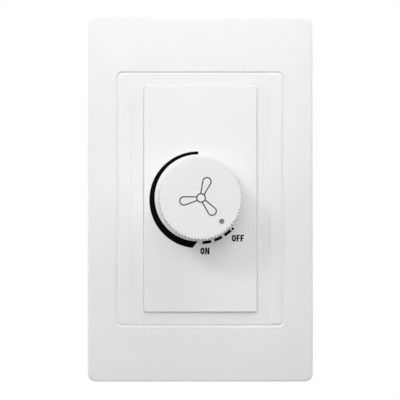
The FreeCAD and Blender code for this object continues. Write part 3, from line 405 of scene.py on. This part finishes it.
        shader = tree.nodes["Principled BSDF"]
        for socket, source in looks.items():
            feed(tree, shader.inputs[socket], source)
        self.made[name] = made
        return made

    def dress(self, piece: bpy.types.Object, finish: Finish, marks: tuple[Mark, ...] = ()) -> None:
        """Give a piece a finish, and other finishes to its marked regions.

        Args:
            piece: the piece to dress.
            finish: its finish.
            marks: its regions with other finishes.
        """
        name = piece.name + "_finish" if marks else ""
        piece.data.materials.clear()
        piece.data.materials.append(self.material(finish, marks, name))


def woven(grid: np.ndarray, wrap_rows: bool = False, wrap_columns: bool = False) -> Shell:
    """Join the neighbours in a grid of points by quads.

    Args:
        grid: points, of shape (rows, columns, 3).
        wrap_rows: join the last row to the first.
        wrap_columns: join the last column to the first.

    Returns:
        The points as a flat list and the corners of each quad.
    """
    index = np.arange(grid.shape[0] * grid.shape[1]).reshape(grid.shape[:2])
    if wrap_rows:
        index = np.vstack([index, index[:1]])
    if wrap_columns:
        index = np.hstack([index, index[:, :1]])
    corners = (index[:-1, :-1], index[1:, :-1], index[1:, 1:], index[:-1, 1:])
    return grid.reshape(-1, 3), np.stack(corners, axis=-1).reshape(-1, 4)


def thin_plate(front: np.ndarray, thickness: float, wrap_rows: bool = False) -> Shell:
    """A closed plate behind a grid of front points.

    The grid's columns run across the front, and the same columns, set back into the wall by the
    thickness, run across the back in the other order. So each row is a closed loop round the plate.

    Args:
        front: points on the front, of shape (rows, columns, 3).
        thickness: how far the back lies behind the front, along +y.
        wrap_rows: true for a plate that runs round and meets itself.

    Returns:
        The points and quads of the plate.
    """
    back = front + np.array([0.0, thickness, 0.0])
    points, quads = woven(np.concatenate([front, back[:, ::-1]], axis=1), wrap_rows, wrap_columns=True)
    if wrap_rows:
        return points, quads
    columns = front.shape[1]
    across = np.arange(columns - 1)
    first = np.stack([across, across + 1, 2 * columns - 2 - across, 2 * columns - 1 - across], axis=-1)
    last = first + (front.shape[0] - 1) * 2 * columns
    return points, np.vstack([quads, first, last])


def make_piece(name: str, shells: list[Shell], sharp_degrees: float = SHARP_DEGREES) -> bpy.types.Object:
    """One object from closed shells, with doubles merged, faces outwards and smooth up to an angle.

    Args:
        name: the piece's name.
        shells: points and quads of each shell, in metres.
        sharp_degrees: edges that bend by more than this stay sharp.

    Returns:
        The object, linked to the scene, at the origin.
    """
    starts = np.cumsum([0] + [len(points) for points, _ in shells])
    points = np.vstack([points for points, _ in shells])
    quads = np.vstack([quads + start for (_, quads), start in zip(shells, starts)])
    mesh = bpy.data.meshes.new(name)
    mesh.from_pydata(points.tolist(), [], quads.tolist())
    work = bmesh.new()
    work.from_mesh(mesh)
    bmesh.ops.remove_doubles(work, verts=work.verts, dist=MERGE_DISTANCE)
    loose = [edge for edge in work.edges if not edge.link_faces]
    bmesh.ops.delete(work, geom=loose, context="EDGES")
    bmesh.ops.recalc_face_normals(work, faces=work.faces)
    work.to_mesh(mesh)
    work.free()
    mesh.shade_smooth()
    mesh.set_sharp_from_angle(angle=math.radians(sharp_degrees))
    piece = bpy.data.objects.new(name, mesh)
    bpy.context.scene.collection.objects.link(piece)
    log.info("made %s with %d faces", name, len(mesh.polygons))
    return piece


def round_turns(count: int) -> np.ndarray:
    """Angles in radians, evenly all the way round."""
    return np.linspace(0.0, FULL_TURN, count, endpoint=False)


def on_front(across: np.ndarray, up: np.ndarray, depth: np.ndarray | float) -> np.ndarray:
    """Points in metres from sizes in millimetres: across to the right, up, and depth out of the wall."""
    across, up, depth = np.broadcast_arrays(across, up, depth)
    return np.stack([across, -depth, up], axis=-1) * MM


def on_dial(radius: np.ndarray | float, degrees: np.ndarray | float,
            depth: np.ndarray | float) -> np.ndarray:
    """Points at a radius and an angle clockwise from the top of the dial."""
    turn = np.radians(degrees)
    return on_front(radius * np.sin(turn), radius * np.cos(turn), depth)


def ribbon(path: np.ndarray, width: float, depth: float, closed: bool) -> np.ndarray:
    """A flat line of one width along a path: each point of it moved half the width to both sides.

    Args:
        path: points (across, up) in millimetres, of shape (count, 2).
        width: the line's width in millimetres.
        depth: how far out of the wall it lies, in millimetres.
        closed: true where the path returns to its start.

    Returns:
        A grid of shape (count, 2, 3) in metres.
    """
    ahead = np.roll(path, -1, axis=0)
    behind = np.roll(path, 1, axis=0)
    if not closed:
        ahead[-1] = path[-1]
        behind[0] = path[0]
    along = ahead - behind
    along /= np.linalg.norm(along, axis=1, keepdims=True)
    side = np.stack([-along[:, 1], along[:, 0]], axis=-1) * width / 2
    edges = np.stack([path + side, path - side], axis=1)
    return on_front(edges[..., 0], edges[..., 1], depth)


@dataclass
class Knob:
    """The knurled knob with its fan sign and pointer, round the dial's axis. Sizes in millimetres.

    Each row of face_rings is a first radius, a last one and a count; they are closest at the pointer.
    """

    face_radius: float = 13.38
    base_radius: float = 13.6
    edge_round: float = 0.22
    foot_round: float = 0.15
    wall: float = 1.5
    face_wall: float = 1.8
    hub_radius: float = 5.2
    hub_reach: float = 6.6
    bore_radius: float = 3.05
    bore_flat: float = 2.1
    least_facing: float = 0.1
    flat_degrees: float = 139.0
    rib_width: float = 1.0
    rib_reach: float = 5.6
    rib_turns: Pair = (45.0, 135.0)
    knurls: int = 76
    knurl_depth: float = 0.55
    knurl_squareness: float = 1.6
    foot_knurl_share: float = 0.6
    samples_per_knurl: int = 8
    face_rings: tuple[tuple[float, float, int], ...] = (
        (0.0, 8.8, 9), (9.05, 11.15, 22), (11.8, 12.2, 2))
    edge_rows: int = 7
    side_rows: int = 8
    ceiling_rows: int = 12
    sharp_degrees: float = 40.0
    pointer_radius: float = 10.08
    pointer_degrees: float = 137.4
    dimple_radius: float = 0.85
    dimple_depth: float = 0.25
    ink: float = 0.02
    ink_reach: float = 0.97
    ink_rings: int = 9
    ink_turns: int = 48
    front: float = field(init=False)
    back: float = field(init=False)

    def __post_init__(self) -> None:
        """Take the knob's two ends from the frame."""
        low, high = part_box("knob")
        self.front = -low.y / MM
        self.back = -high.y / MM

    def _profile(self) -> np.ndarray:
        """The knob's outline, from the middle of the face round to the bore's end.

        The face runs out to a quarter round, the tapered side runs back to the foot, and the inside
        goes up the wall, along the ceiling, down the hub and up the bore.

        Returns:
            Rows of (radius, depth, share of the knurl depth, 1 on the inside).
        """
        face_rows = np.concatenate([np.linspace(*ring) for ring in self.face_rings])
        face = np.stack([face_rows, np.full_like(face_rows, self.front)], axis=-1)
        quarter = np.linspace(0.0, math.pi / 2, self.edge_rows)
        edge = np.stack([self.face_radius - self.edge_round * (1 - np.sin(quarter)),
                         self.front - self.edge_round * (1 - np.cos(quarter))], axis=-1)
        side_share = np.linspace(0.0, 1.0, self.side_rows)[1:]
        side_end = self.back + self.foot_round
        side = np.stack([self.face_radius + (self.base_radius - self.face_radius) * side_share,
                         edge[-1, 1] + (side_end - edge[-1, 1]) * side_share], axis=-1)
        foot = np.array([[self.base_radius - self.foot_round, self.back]])
        inner = self.face_radius - self.knurl_depth - self.wall
        ceiling = self.front - self.face_wall
        hub_end = ceiling - self.hub_reach
        across = np.linspace(inner, self.hub_radius, self.ceiling_rows)
        inside = np.vstack([[[inner, self.back]],
                            np.stack([across, np.full_like(across, ceiling)], axis=-1),
                            [[self.hub_radius, hub_end], [self.bore_radius, hub_end],
                             [self.bore_radius, ceiling], [0.0, ceiling]]])
        rows = np.vstack([face, edge, side, foot, inside])
        share = np.concatenate([np.zeros(len(face)), np.ones(len(edge) + len(side)),
                                [self.foot_knurl_share], np.zeros(len(inside))])
        hidden = np.concatenate([np.zeros(len(rows) - len(inside)), np.ones(len(inside))])
        return np.column_stack([rows, share, hidden])

    def _surface(self) -> np.ndarray:
        """The profile turned round the axis.

        The radius falls by the knurl depth times a squared-off cosine wave of the angle, which is
        tanh(squareness times cosine). The face dips in a round dish at the pointer. Inside, the bore
        is cut by its flat, and the ceiling comes down to the ribs' edge where they cross it.

        Returns:
            A grid of points in metres: a row for each row of the profile, and columns round the axis.
        """
        columns = self.knurls * self.samples_per_knurl
        degrees = np.arange(columns) * 360.0 / columns
        radius, depth, share, hidden = (column[:, None] for column in self._profile().T)
        swing = np.cos(FULL_TURN * np.arange(columns) / self.samples_per_knurl)
        wave = (1 + np.tanh(self.knurl_squareness * swing) / math.tanh(self.knurl_squareness)) / 2
        radius = radius * (1 - share * self.knurl_depth / self.base_radius * (1 - wave[None, :]))
        depth = np.broadcast_to(depth, radius.shape)
        away = np.radians(degrees - self.pointer_degrees)[None, :]
        gap = np.hypot(radius * np.sin(away), radius * np.cos(away) - self.pointer_radius)
        dish = self.dimple_depth * np.clip(1 - (gap / self.dimple_radius) ** 2, 0, None)
        depth = depth - np.where(hidden > 0, 0.0, dish)
        facing = np.cos(np.radians(degrees - self.flat_degrees))[None, :]
        flat = self.bore_flat / np.maximum(facing, self.least_facing)
        radius = np.where((hidden > 0) & (radius <= self.bore_radius), np.minimum(radius, flat), radius)
        ribbed = np.zeros(radius.shape, bool)
        for turn in self.rib_turns:
            offset = radius * np.abs(np.sin(np.radians(degrees + turn - self.flat_degrees)))[None, :]
            ribbed |= offset < self.rib_width / 2
        rib_edge = self.front - self.face_wall - self.rib_reach
        on_ceiling = (hidden > 0) & (radius >= self.hub_radius)
        depth = np.where(on_ceiling & ribbed & (depth > rib_edge), rib_edge, depth)
        return on_dial(radius, degrees[None, :], depth)

    def _pointer(self) -> Shell:
        """A round of ink that follows the dish: its depth falls with the square of the radius.

        Returns:
            The points and quads of the ink.
        """
        ring = np.linspace(0.0, self.ink_reach * self.dimple_radius, self.ink_rings)[None, :]
        turn = round_turns(self.ink_turns)[:, None]
        middle = np.radians(self.pointer_degrees)
        across = self.pointer_radius * math.sin(middle) + ring * np.cos(turn)
        up = self.pointer_radius * math.cos(middle) + ring * np.sin(turn)
        dish = self.dimple_depth * (1 - (ring / self.dimple_radius) ** 2)
        front = on_front(across, up, self.front + self.ink - dish)
        return thin_plate(front, 2 * self.ink * MM, wrap_rows=True)

    def build(self, shop: FinishShop) -> None:
        """Make the knob, its fan sign and its pointer, and let them turn with the dial.

        Args:
            shop: where their materials come from.
        """
        surface = woven(self._surface(), wrap_columns=True)
        body = make_piece("knurled_knob", [surface], self.sharp_degrees)
        shop.dress(body, KNOB_PLASTIC)
        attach(body, TURNING_BODY)
        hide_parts("knob")
        pointer = make_piece("pointer_dot", [self._pointer()])
        shop.dress(pointer, POINTER_INK)
        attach(pointer, TURNING_BODY)
        sign = make_piece("fan_sign", FanSign().shells(self.front + self.ink, 2 * self.ink))
        shop.dress(sign, SIGN_INK)
        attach(sign, TURNING_BODY)


@dataclass
class FanSign:
    """The outline of a three-bladed fan, in millimetres from the middle of the knob's face."""

    middle: Pair = (0.20, 0.07)
    blade_degrees: tuple[float, ...] = (20.0, 140.0, 260.0)
    hub_radius: float = 1.36
    blade_reach: float = 5.52
    blade_round: float = 1.33
    root_half: float = 0.55
    line: float = 0.38
    overlap_step: float = 0.004
    hub_turns: int = 48
    end_turns: int = 25

    def _blade(self, degrees: float) -> np.ndarray:
        """A blade's path: a straight edge off the hub, a round end that it touches, and an edge back.

        Args:
            degrees: the blade's direction, clockwise from the top.

        Returns:
            Points (across, up), of shape (count, 2).
        """
        root = math.sqrt(self.hub_radius ** 2 - self.root_half ** 2)
        reach = self.blade_reach - root
        lean = math.atan2(self.root_half, reach)
        touch = math.acos(self.blade_round / math.hypot(reach, self.root_half))
        first = touch + lean - math.pi / 2
        sweep = np.linspace(first, math.pi - first, self.end_turns)
        round_end = np.stack([self.blade_round * np.cos(sweep),
                              self.blade_reach + self.blade_round * np.sin(sweep)], axis=-1)
        edges = np.array([[self.root_half, root], [-self.root_half, root]])
        path = np.vstack([edges[:1], round_end, edges[1:]])
        turn = math.radians(degrees)
        return np.stack([path[:, 0] * math.cos(turn) + path[:, 1] * math.sin(turn),
                         path[:, 1] * math.cos(turn) - path[:, 0] * math.sin(turn)], axis=-1)

    def shells(self, depth: float, thickness: float) -> list[Shell]:
        """The hub's ring and the three blades as thin plates.

        Args:
            depth: how far out of the wall the ink's front lies, in millimetres.
            thickness: the plates' thickness in millimetres.

        Returns:
            One shell for the ring and one for each blade.
        """
        turn = round_turns(self.hub_turns)
        ring = self.hub_radius * np.stack([np.sin(turn), np.cos(turn)], axis=-1)
        made = [thin_plate(ribbon(ring, self.line, depth, closed=True), thickness * MM, wrap_rows=True)]
        for degrees in self.blade_degrees:
            line = ribbon(self._blade(degrees), self.line, depth - self.overlap_step, closed=False)
            made.append(thin_plate(line, thickness * MM))
        return [(points + on_front(*self.middle, 0.0), quads) for points, quads in made]


@dataclass(frozen=True)
class Dash:
    """A dash of the scale: the angle of its middle, clockwise from the top, its length and its width."""

    degrees: float
    length: float
    width: float


@dataclass(frozen=True)
class Word:
    """A printed word and its middle, across and up from the dial's axis."""

    text: str
    across: float
    up: float


@dataclass
class DialPrint:
    """The printed scale on the panel: a crescent, dashes, a dot and two words. Sizes in millimetres."""

    outer_centre: Pair = (-0.85, -0.27)
    outer_radius: float = 15.86
    inner_centre: Pair = (-0.71, 0.36)
    inner_radius: float = 14.26
    thin_end_degrees: float = 357.5
    thick_end_inner_degrees: float = 183.7
    thick_end_outer_degrees: float = 189.0
    crescent_turns: int = 97
    dash_radius: float = 14.46
    dash_shift: Pair = (-0.14, 0.11)
    dashes: tuple[Dash, ...] = (
        Dash(170.9, 2.9, 0.94), Dash(155.4, 2.72, 0.88), Dash(140.85, 2.6, 0.9))
    dash_turns: int = 9
    dot_degrees: float = 132.6
    dot_radius: float = 0.42
    dot_turns: int = 32
    words: tuple[Word, ...] = (Word("ON", 1.5, -17.05), Word("OFF", 12.30, -12.86))
    letter_height: float = 2.18
    letter_widths: dict[str, float] = field(default_factory=lambda: {"O": 1.38, "N": 1.4, "F": 1.14})
    letter_gap: float = 0.17
    stroke: float = 0.51
    slope_strokes: float = 1.9
    arm_strokes: float = 0.9
    middle_arm_share: float = 0.75
    oval_power: float = 0.85
    oval_turns: int = 64
    ink: float = 0.02
    depth: float = field(init=False)

    def __post_init__(self) -> None:
        """Lay the ink's front just out of the panel's face, which the frame gives."""
        low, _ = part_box("dial_panel")
        self.depth = self.ink - low.y / MM

    @staticmethod
    def _on_circle(centre: Pair, radius: float, degrees: np.ndarray) -> np.ndarray:
        """Distance from the dial's axis to an offset circle, along rays at the given angles.

        With c the part of the centre's offset that lies along the ray, the distance is
        c + sqrt(c squared - offset squared + radius squared).

        Args:
            centre: the circle's centre, across and up from the axis.
            radius: the circle's radius.
            degrees: the rays' angles, clockwise from the top.

        Returns:
            The distance along each ray.
        """
        turn = np.radians(degrees)
        along = centre[0] * np.sin(turn) + centre[1] * np.cos(turn)
        return along + np.sqrt(along ** 2 - centre[0] ** 2 - centre[1] ** 2 + radius ** 2)

    def _plate(self, front: np.ndarray, wrap_rows: bool = False) -> Shell:
        """Ink as a thin plate that sinks into the panel by as much as it stands out."""
        return thin_plate(front, 2 * self.ink * MM, wrap_rows)

    def _crescent(self) -> Shell:
        """The band between two circles whose centres are apart, so that it thickens towards one end.

        Returns:
            The shell of the band.
        """
        inner = np.linspace(self.thin_end_degrees, self.thick_end_inner_degrees, self.crescent_turns)
        outer = np.linspace(self.thin_end_degrees, self.thick_end_outer_degrees, self.crescent_turns)
        near = on_dial(self._on_circle(self.inner_centre, self.inner_radius, inner), inner, self.depth)
        far = on_dial(self._on_circle(self.outer_centre, self.outer_radius, outer), outer, self.depth)
        return self._plate(np.stack([near, far], axis=1))

    def _dash(self, dash: Dash) -> Shell:
        """A short band of the scale's circle, from one angle to another.

        Args:
            dash: where it lies and its size.

        Returns:
            The shell of the dash.
        """
        half = math.degrees(dash.length / 2 / self.dash_radius)
        turn = np.linspace(dash.degrees - half, dash.degrees + half, self.dash_turns)[:, None]
        ring = self.dash_radius + np.array([[-dash.width / 2, dash.width / 2]])
        return self._plate(on_dial(ring, turn, self.depth) + on_front(*self.dash_shift, 0.0))

    def _dot(self) -> Shell:
        """A round dot: radius from nothing to its size, all the way round.

        Returns:
            The shell of the dot.
        """
        turn = round_turns(self.dot_turns)[:, None]
        ring = np.array([[0.0, self.dot_radius]])
        middle = math.radians(self.dot_degrees)
        across = self.dash_radius * math.sin(middle) + ring * np.cos(turn)
        up = self.dash_radius * math.cos(middle) + ring * np.sin(turn)
        return self._plate(on_front(across, up, self.depth), wrap_rows=True)

    def _letter(self, letter: str, across: float, up: float) -> list[Shell]:
        """A letter from strokes that meet edge to edge.

        The round one is a line along an oval: the sine and the cosine of the angle, each raised to a
        power below 1, which squares it off. The others are bars and slopes, given by their corners.

        Args:
            letter: one of O, N and F.
            across: the letter's middle, to the right of the dial's axis.
            up: the letter's middle, above the dial's axis.

        Returns:
            The shells of the letter's strokes.
        """
        wide, high, stroke = self.letter_widths[letter] / 2, self.letter_height / 2, self.stroke
        if letter == "O":
            turn = round_turns(self.oval_turns)
            wave = np.stack([np.cos(turn), np.sin(turn)], axis=-1)
            reach = np.array([wide - stroke / 2, high - stroke / 2])
            loop = reach * np.sign(wave) * np.abs(wave) ** self.oval_power + (across, up)
            return [self._plate(ribbon(loop, stroke, self.depth, closed=True), wrap_rows=True)]
        root = stroke - wide
        left_bar = [(-wide, -high), (root, -high), (root, high), (-wide, high)]
        if letter == "N":
            slope = self.slope_strokes * stroke
            strokes = [left_bar, [(-x, z) for x, z in left_bar],
                       [(root, high - slope), (-root, -high), (-root, slope - high), (root, high)]]
        else:
            arm = self.arm_strokes * stroke
            tip = self.middle_arm_share * wide
            strokes = [left_bar, [(root, high - arm), (wide, high - arm), (wide, high), (root, high)],
                       [(root, -arm / 2), (tip, -arm / 2), (tip, arm / 2), (root, arm / 2)]]
        made = []
        for corners in strokes:
            low_left, low_right, high_right, high_left = np.array(corners) + (across, up)
            grid = np.array([[low_left, high_left], [low_right, high_right]])
            made.append(self._plate(on_front(grid[..., 0], grid[..., 1], self.depth)))
        return made

    def _word(self, word: Word) -> list[Shell]:
        """A word: its letters side by side, each as wide as it is, with one gap between them.

        Args:
            word: the word and its place.

        Returns:
            The shells of all its letters.
        """
        widths = np.array([self.letter_widths[letter] for letter in word.text])
        ends = np.cumsum(widths + self.letter_gap) - self.letter_gap
        middles = word.across + ends - widths / 2 - ends[-1] / 2
        return [shell for letter, middle in zip(word.text, middles)
                for shell in self._letter(letter, middle, word.up)]

    def build(self, shop: FinishShop) -> None:
        """Print the scale and the words on the panel.

        Args:
            shop: where the ink's material comes from.
        """
        pieces = {"speed_crescent": [self._crescent()]}
        pieces["off_dashes"] = [*map(self._dash, self.dashes), self._dot()]
        pieces |= {"word_" + word.text.lower(): self._word(word) for word in self.words}
        for name, shells in pieces.items():
            piece = make_piece(name, shells)
            shop.dress(piece, PRINT_INK)
            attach(piece, FIXED_BODY)


@dataclass
class Works:
    """The carried-over solids: covers, frame, case and everything inside them. Sizes in millimetres.

    The parts on the board are solids with their leads on, so their bodies are marked on tinned wire.
    """

    resistor_half: float = 3.12
    resistor_radius: float = 1.1
    resistor_middles: Pair = (-6.5, 6.5)
    band_half: float = 0.27
    bands: tuple[tuple[Finish, float], ...] = (
        (YELLOW_PAINT, -2.3), (VIOLET_PAINT, -1.3), (ORANGE_PAINT, -0.3), (GOLD_PAINT, 1.9))
    diac_half: float = 2.02
    diac_radius: float = 0.95
    fuse_tube_half: float = 2.6
    fuse_radius: float = 1.8
    body_margin: float = 1.2
    timing_height: float = 7.0
    filter_height: float = 9.8
    triac_tab: float = 6.4
    triac_body: float = 9.0
    track_radius: float = 6.2
    track_half: float = 0.85
    track_gap_half: float = 1.4
    clearance: float = 0.05
    all_through: float = 50.0

    def _lying(self, node: str, across: float, radius: float, half: float, finish: Finish) -> Mark:
        """The round body of a part that lies along the board.

        Args:
            node: the part's node.
            across: the body's middle, to the right of the dial's axis.
            radius: the body's radius.
            half: half the length that takes the finish.
            finish: the finish.

        Returns:
            The marked region.
        """
        low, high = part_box(node)
        middle = (across, low.y / MM + radius, (low.z + high.z) / 2 / MM)
        reach = self.body_margin * radius
        return Mark(finish, middle, (half, reach, reach))

    def _marks(self) -> dict[str, tuple[Mark, ...]]:
        """The regions of each solid that has more than one finish.

        Returns:
            The regions by the solid's node.
        """
        resistors = []
        for middle in self.resistor_middles:
            rings = [(RESISTOR_COAT, 0.0, self.resistor_half)]
            rings += [(paint, offset, self.band_half) for paint, offset in self.bands]
            resistors += [self._lying("resistors", middle + offset, self.resistor_radius, half, finish)
                          for finish, offset, half in rings]
        wide = self.all_through
        timing_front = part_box("timing_capacitor")[0].y / MM
        timing = Mark(TIMING_DIP, (0.0, timing_front + self.timing_height / 2, 0.0),
                      (wide, self.timing_height / 2 + self.clearance, wide))
        filter_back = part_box("suppression_capacitor")[1].y / MM
        filter_box = Mark(FILTER_CASE, (0.0, filter_back - self.filter_height / 2, 0.0),
                          (wide, self.filter_height / 2 + self.clearance, wide))
        triac_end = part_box("triac")[1].x / MM
        triac = Mark(DARK_PLASTIC, (triac_end - self.triac_tab - self.triac_body / 2, 0.0, 0.0),
                     (self.triac_body / 2 + self.clearance, wide, wide))
        track_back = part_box("track_board")[1].y / MM
        track = Mark(CARBON_TRACK, (self.track_radius, track_back, 0.0),
                     (self.track_half, self.clearance, wide), round_piece=True)
        gap = Mark(TRACK_LAMINATE, (0.0, track_back, -self.track_radius),
                   (self.track_gap_half, self.clearance, self.track_half + self.clearance))
        diac_low, diac_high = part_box("diac")
        diac_middle = (diac_low.x + diac_high.x) / 2 / MM
        return {
            "resistors": tuple(resistors),
            "diac": (self._lying("diac", diac_middle, self.diac_radius, self.diac_half, DIAC_GLASS),),
            "fuse": (self._lying("fuse", 0.0, self.fuse_radius, self.fuse_tube_half, FUSE_CERAMIC),),
            "timing_capacitor": (timing,),
            "suppression_capacitor": (filter_box,),
            "triac": (triac,),
            "track_board": (track, gap),
        }

    def dress(self, shop: FinishShop) -> None:
        """Give each solid the finish of its material slot, and the parts with leads their regions.

        Args:
            shop: where the materials come from.
        """
        marks = self._marks()
        for row in frame["record"]["subparts"]:
            node, slot = row["node"], row["material_slot"]
            solid = frame["nodes"][node]
            if node in marks:
                under = TRACK_LAMINATE if node == "track_board" else TINNED_WIRE
                shop.dress(solid, under, marks[node])
            else:
                shop.dress(solid, SLOT_FINISHES[slot])
            log.info("dressed %s in %s", node, slot)


@dataclass(frozen=True)
class Lamp:
    """A square soft lamp that faces the switch: its place and side in metres, and its power in watts."""

    name: str
    place: Triple
    side: float
    watts: float


@dataclass
class Studio:
    """A white room with a floor, soft lamps and the camera of the reference view. Sizes in metres."""

    camera_distance: float = 0.5425
    camera_azimuth: float = -0.1
    camera_elevation: float = -1.0
    focal_pixels: float = 1648.0
    frame_pixels: float = 400.0
    sensor: float = 36.0
    near_clip: float = 0.01
    target: Triple = (-0.0001, -0.007, -0.0003)
    light_from_below: float = 0.0
    light_from_above: float = 0.16
    light_from_behind: float = 0.6
    backdrop_start: float = 0.0
    backdrop_full: float = 0.6
    floor_level: float = -0.165
    floor_rings: tuple[float, ...] = (0.0, 0.5, 0.6)
    floor_turns: int = 64
    floor_fade_start: float = 0.12
    floor_colour: Colour = (0.8, 0.8, 0.8)
    floor_roughness: float = 0.9
    floor_lift: float = 0.45
    lamps: tuple[Lamp, ...] = (
        Lamp("key_lamp", (-0.22, -0.30, 0.24), 0.09, 0.42),
        Lamp("front_lamp", (0.0, -0.30, 0.10), 0.22, 0.35),
        Lamp("top_lamp", (0.12, -0.14, 0.30), 0.22, 0.40),
        Lamp("left_lamp", (-0.36, -0.08, 0.14), 0.22, 0.48),
        Lamp("right_lamp", (0.36, -0.07, 0.18), 0.22, 0.36),
        Lamp("back_lamp", (0.25, 0.6, 0.12), 0.5, 1.0),
    )

    def build(self) -> None:
        """Make the room."""
        self._camera()
        self._world()
        self._floor()
        for lamp in self.lamps:
            self._hang(lamp)

    def _camera(self) -> None:
        """Place the camera on a sphere round the plate, looking at its middle."""
        data = bpy.data.cameras.new("reference_camera")
        data.sensor_width = self.sensor
        data.lens = self.focal_pixels / self.frame_pixels * self.sensor
        data.clip_start = self.near_clip
        camera = bpy.data.objects.new("reference_camera", data)
        bpy.context.scene.collection.objects.link(camera)
        turn, rise = math.radians(self.camera_azimuth), math.radians(self.camera_elevation)
        level = math.cos(rise)
        away = np.array([math.sin(turn) * level, -math.cos(turn) * level, math.sin(rise)])
        camera.location = np.array(self.target) + away * self.camera_distance
        self._aim(camera)
        bpy.context.scene.camera = camera

    def _aim(self, thing: bpy.types.Object) -> None:
        """Turn a lamp or camera to look at the target."""
        toward = Vector(self.target) - thing.location
        thing.rotation_euler = toward.to_track_quat("-Z", "Y").to_euler()

    def _hang(self, lamp: Lamp) -> None:
        """Hang a lamp and aim it.

        Args:
            lamp: the lamp to hang.
        """
        data = bpy.data.lights.new(lamp.name, "AREA")
        data.size = lamp.side
        data.energy = lamp.watts
        light = bpy.data.objects.new(lamp.name, data)
        bpy.context.scene.collection.objects.link(light)
        light.location = lamp.place
        self._aim(light)

    def _world(self) -> None:
        """White to the camera and in reflections, and a soft light, stronger from above and behind."""
        world = bpy.data.worlds.new("white_room")
        bpy.context.scene.world = world
        world.use_nodes = True
        tree = world.node_tree
        look = add_node(tree, "TexCoord").outputs["Generated"]
        parts = add_node(tree, "SeparateXYZ", {0: look}).outputs
        rise = add_node(tree, "MapRange", {
            "Value": parts["Z"], "From Min": -1.0, "To Min": self.light_from_below,
            "To Max": self.light_from_above})
        backdrop = add_node(tree, "MapRange", {
            "Value": parts["Y"], "From Min": self.backdrop_start, "From Max": self.backdrop_full,
            "To Max": self.light_from_behind}, interpolation_type="SMOOTHSTEP")
        strength = calculate(tree, "ADD", rise.outputs["Result"], backdrop.outputs["Result"])
        soft = tree.nodes["Background"]
        feed(tree, soft.inputs["Color"], WHITE)
        feed(tree, soft.inputs["Strength"], strength)
        white = add_node(tree, "Background", {"Color": WHITE})
        path = add_node(tree, "LightPath").outputs
        mirrored = calculate(tree, "MAXIMUM", path["Is Glossy Ray"], path["Is Transmission Ray"])
        seen = calculate(tree, "MAXIMUM", path["Is Camera Ray"], mirrored)
        choice = add_node(tree, "MixShader", {0: seen, 1: soft.outputs[0], 2: white.outputs[0]})
        feed(tree, tree.nodes["World Output"].inputs["Surface"], choice.outputs[0])

    def _floor(self) -> None:
        """Lay a round pale floor below the switch. It fades out towards its rim and looks near white."""
        turn = round_turns(self.floor_turns)[:, None]
        ring = np.array([self.floor_rings])
        rows = np.broadcast_arrays(ring * np.cos(turn), ring * np.sin(turn), self.floor_level)
        floor = make_piece("floor", [woven(np.stack(rows, axis=-1), wrap_rows=True)])
        pale = bpy.data.materials.new("pale_floor")
        pale.use_nodes = True
        tree = pale.node_tree
        path = add_node(tree, "LightPath").outputs
        place = add_node(tree, "TexCoord").outputs["Object"]
        reach = calculate(tree, "DISTANCE", place, (0.0, 0.0, self.floor_level), vectors=True)
        fade = add_node(tree, "MapRange", {
            "Value": reach, "From Min": self.floor_fade_start, "From Max": self.floor_rings[-1],
            "To Min": 1.0, "To Max": 0.0}, interpolation_type="SMOOTHSTEP")
        looks = {
            "Base Color": (*self.floor_colour, 1.0),
            "Roughness": self.floor_roughness,
            "Emission Color": WHITE,
            "Emission Strength": calculate(tree, "MULTIPLY", path["Is Camera Ray"], self.floor_lift),
            "Alpha": fade.outputs["Result"],
        }
        shader = tree.nodes["Principled BSDF"]
        for socket, source in looks.items():
            feed(tree, shader.inputs[socket], source)
        floor.data.materials.append(pale)


def main() -> None:
    """Dress the solids, add the knob and the print, and set up the room."""
    logging.basicConfig(level=logging.INFO)
    bpy.context.scene.view_settings.view_transform = "Standard"
    shop = FinishShop()
    Works().dress(shop)
    Knob().build(shop)
    DialPrint().build(shop)
    Studio().build()


if __name__ == "__main__":
    main()
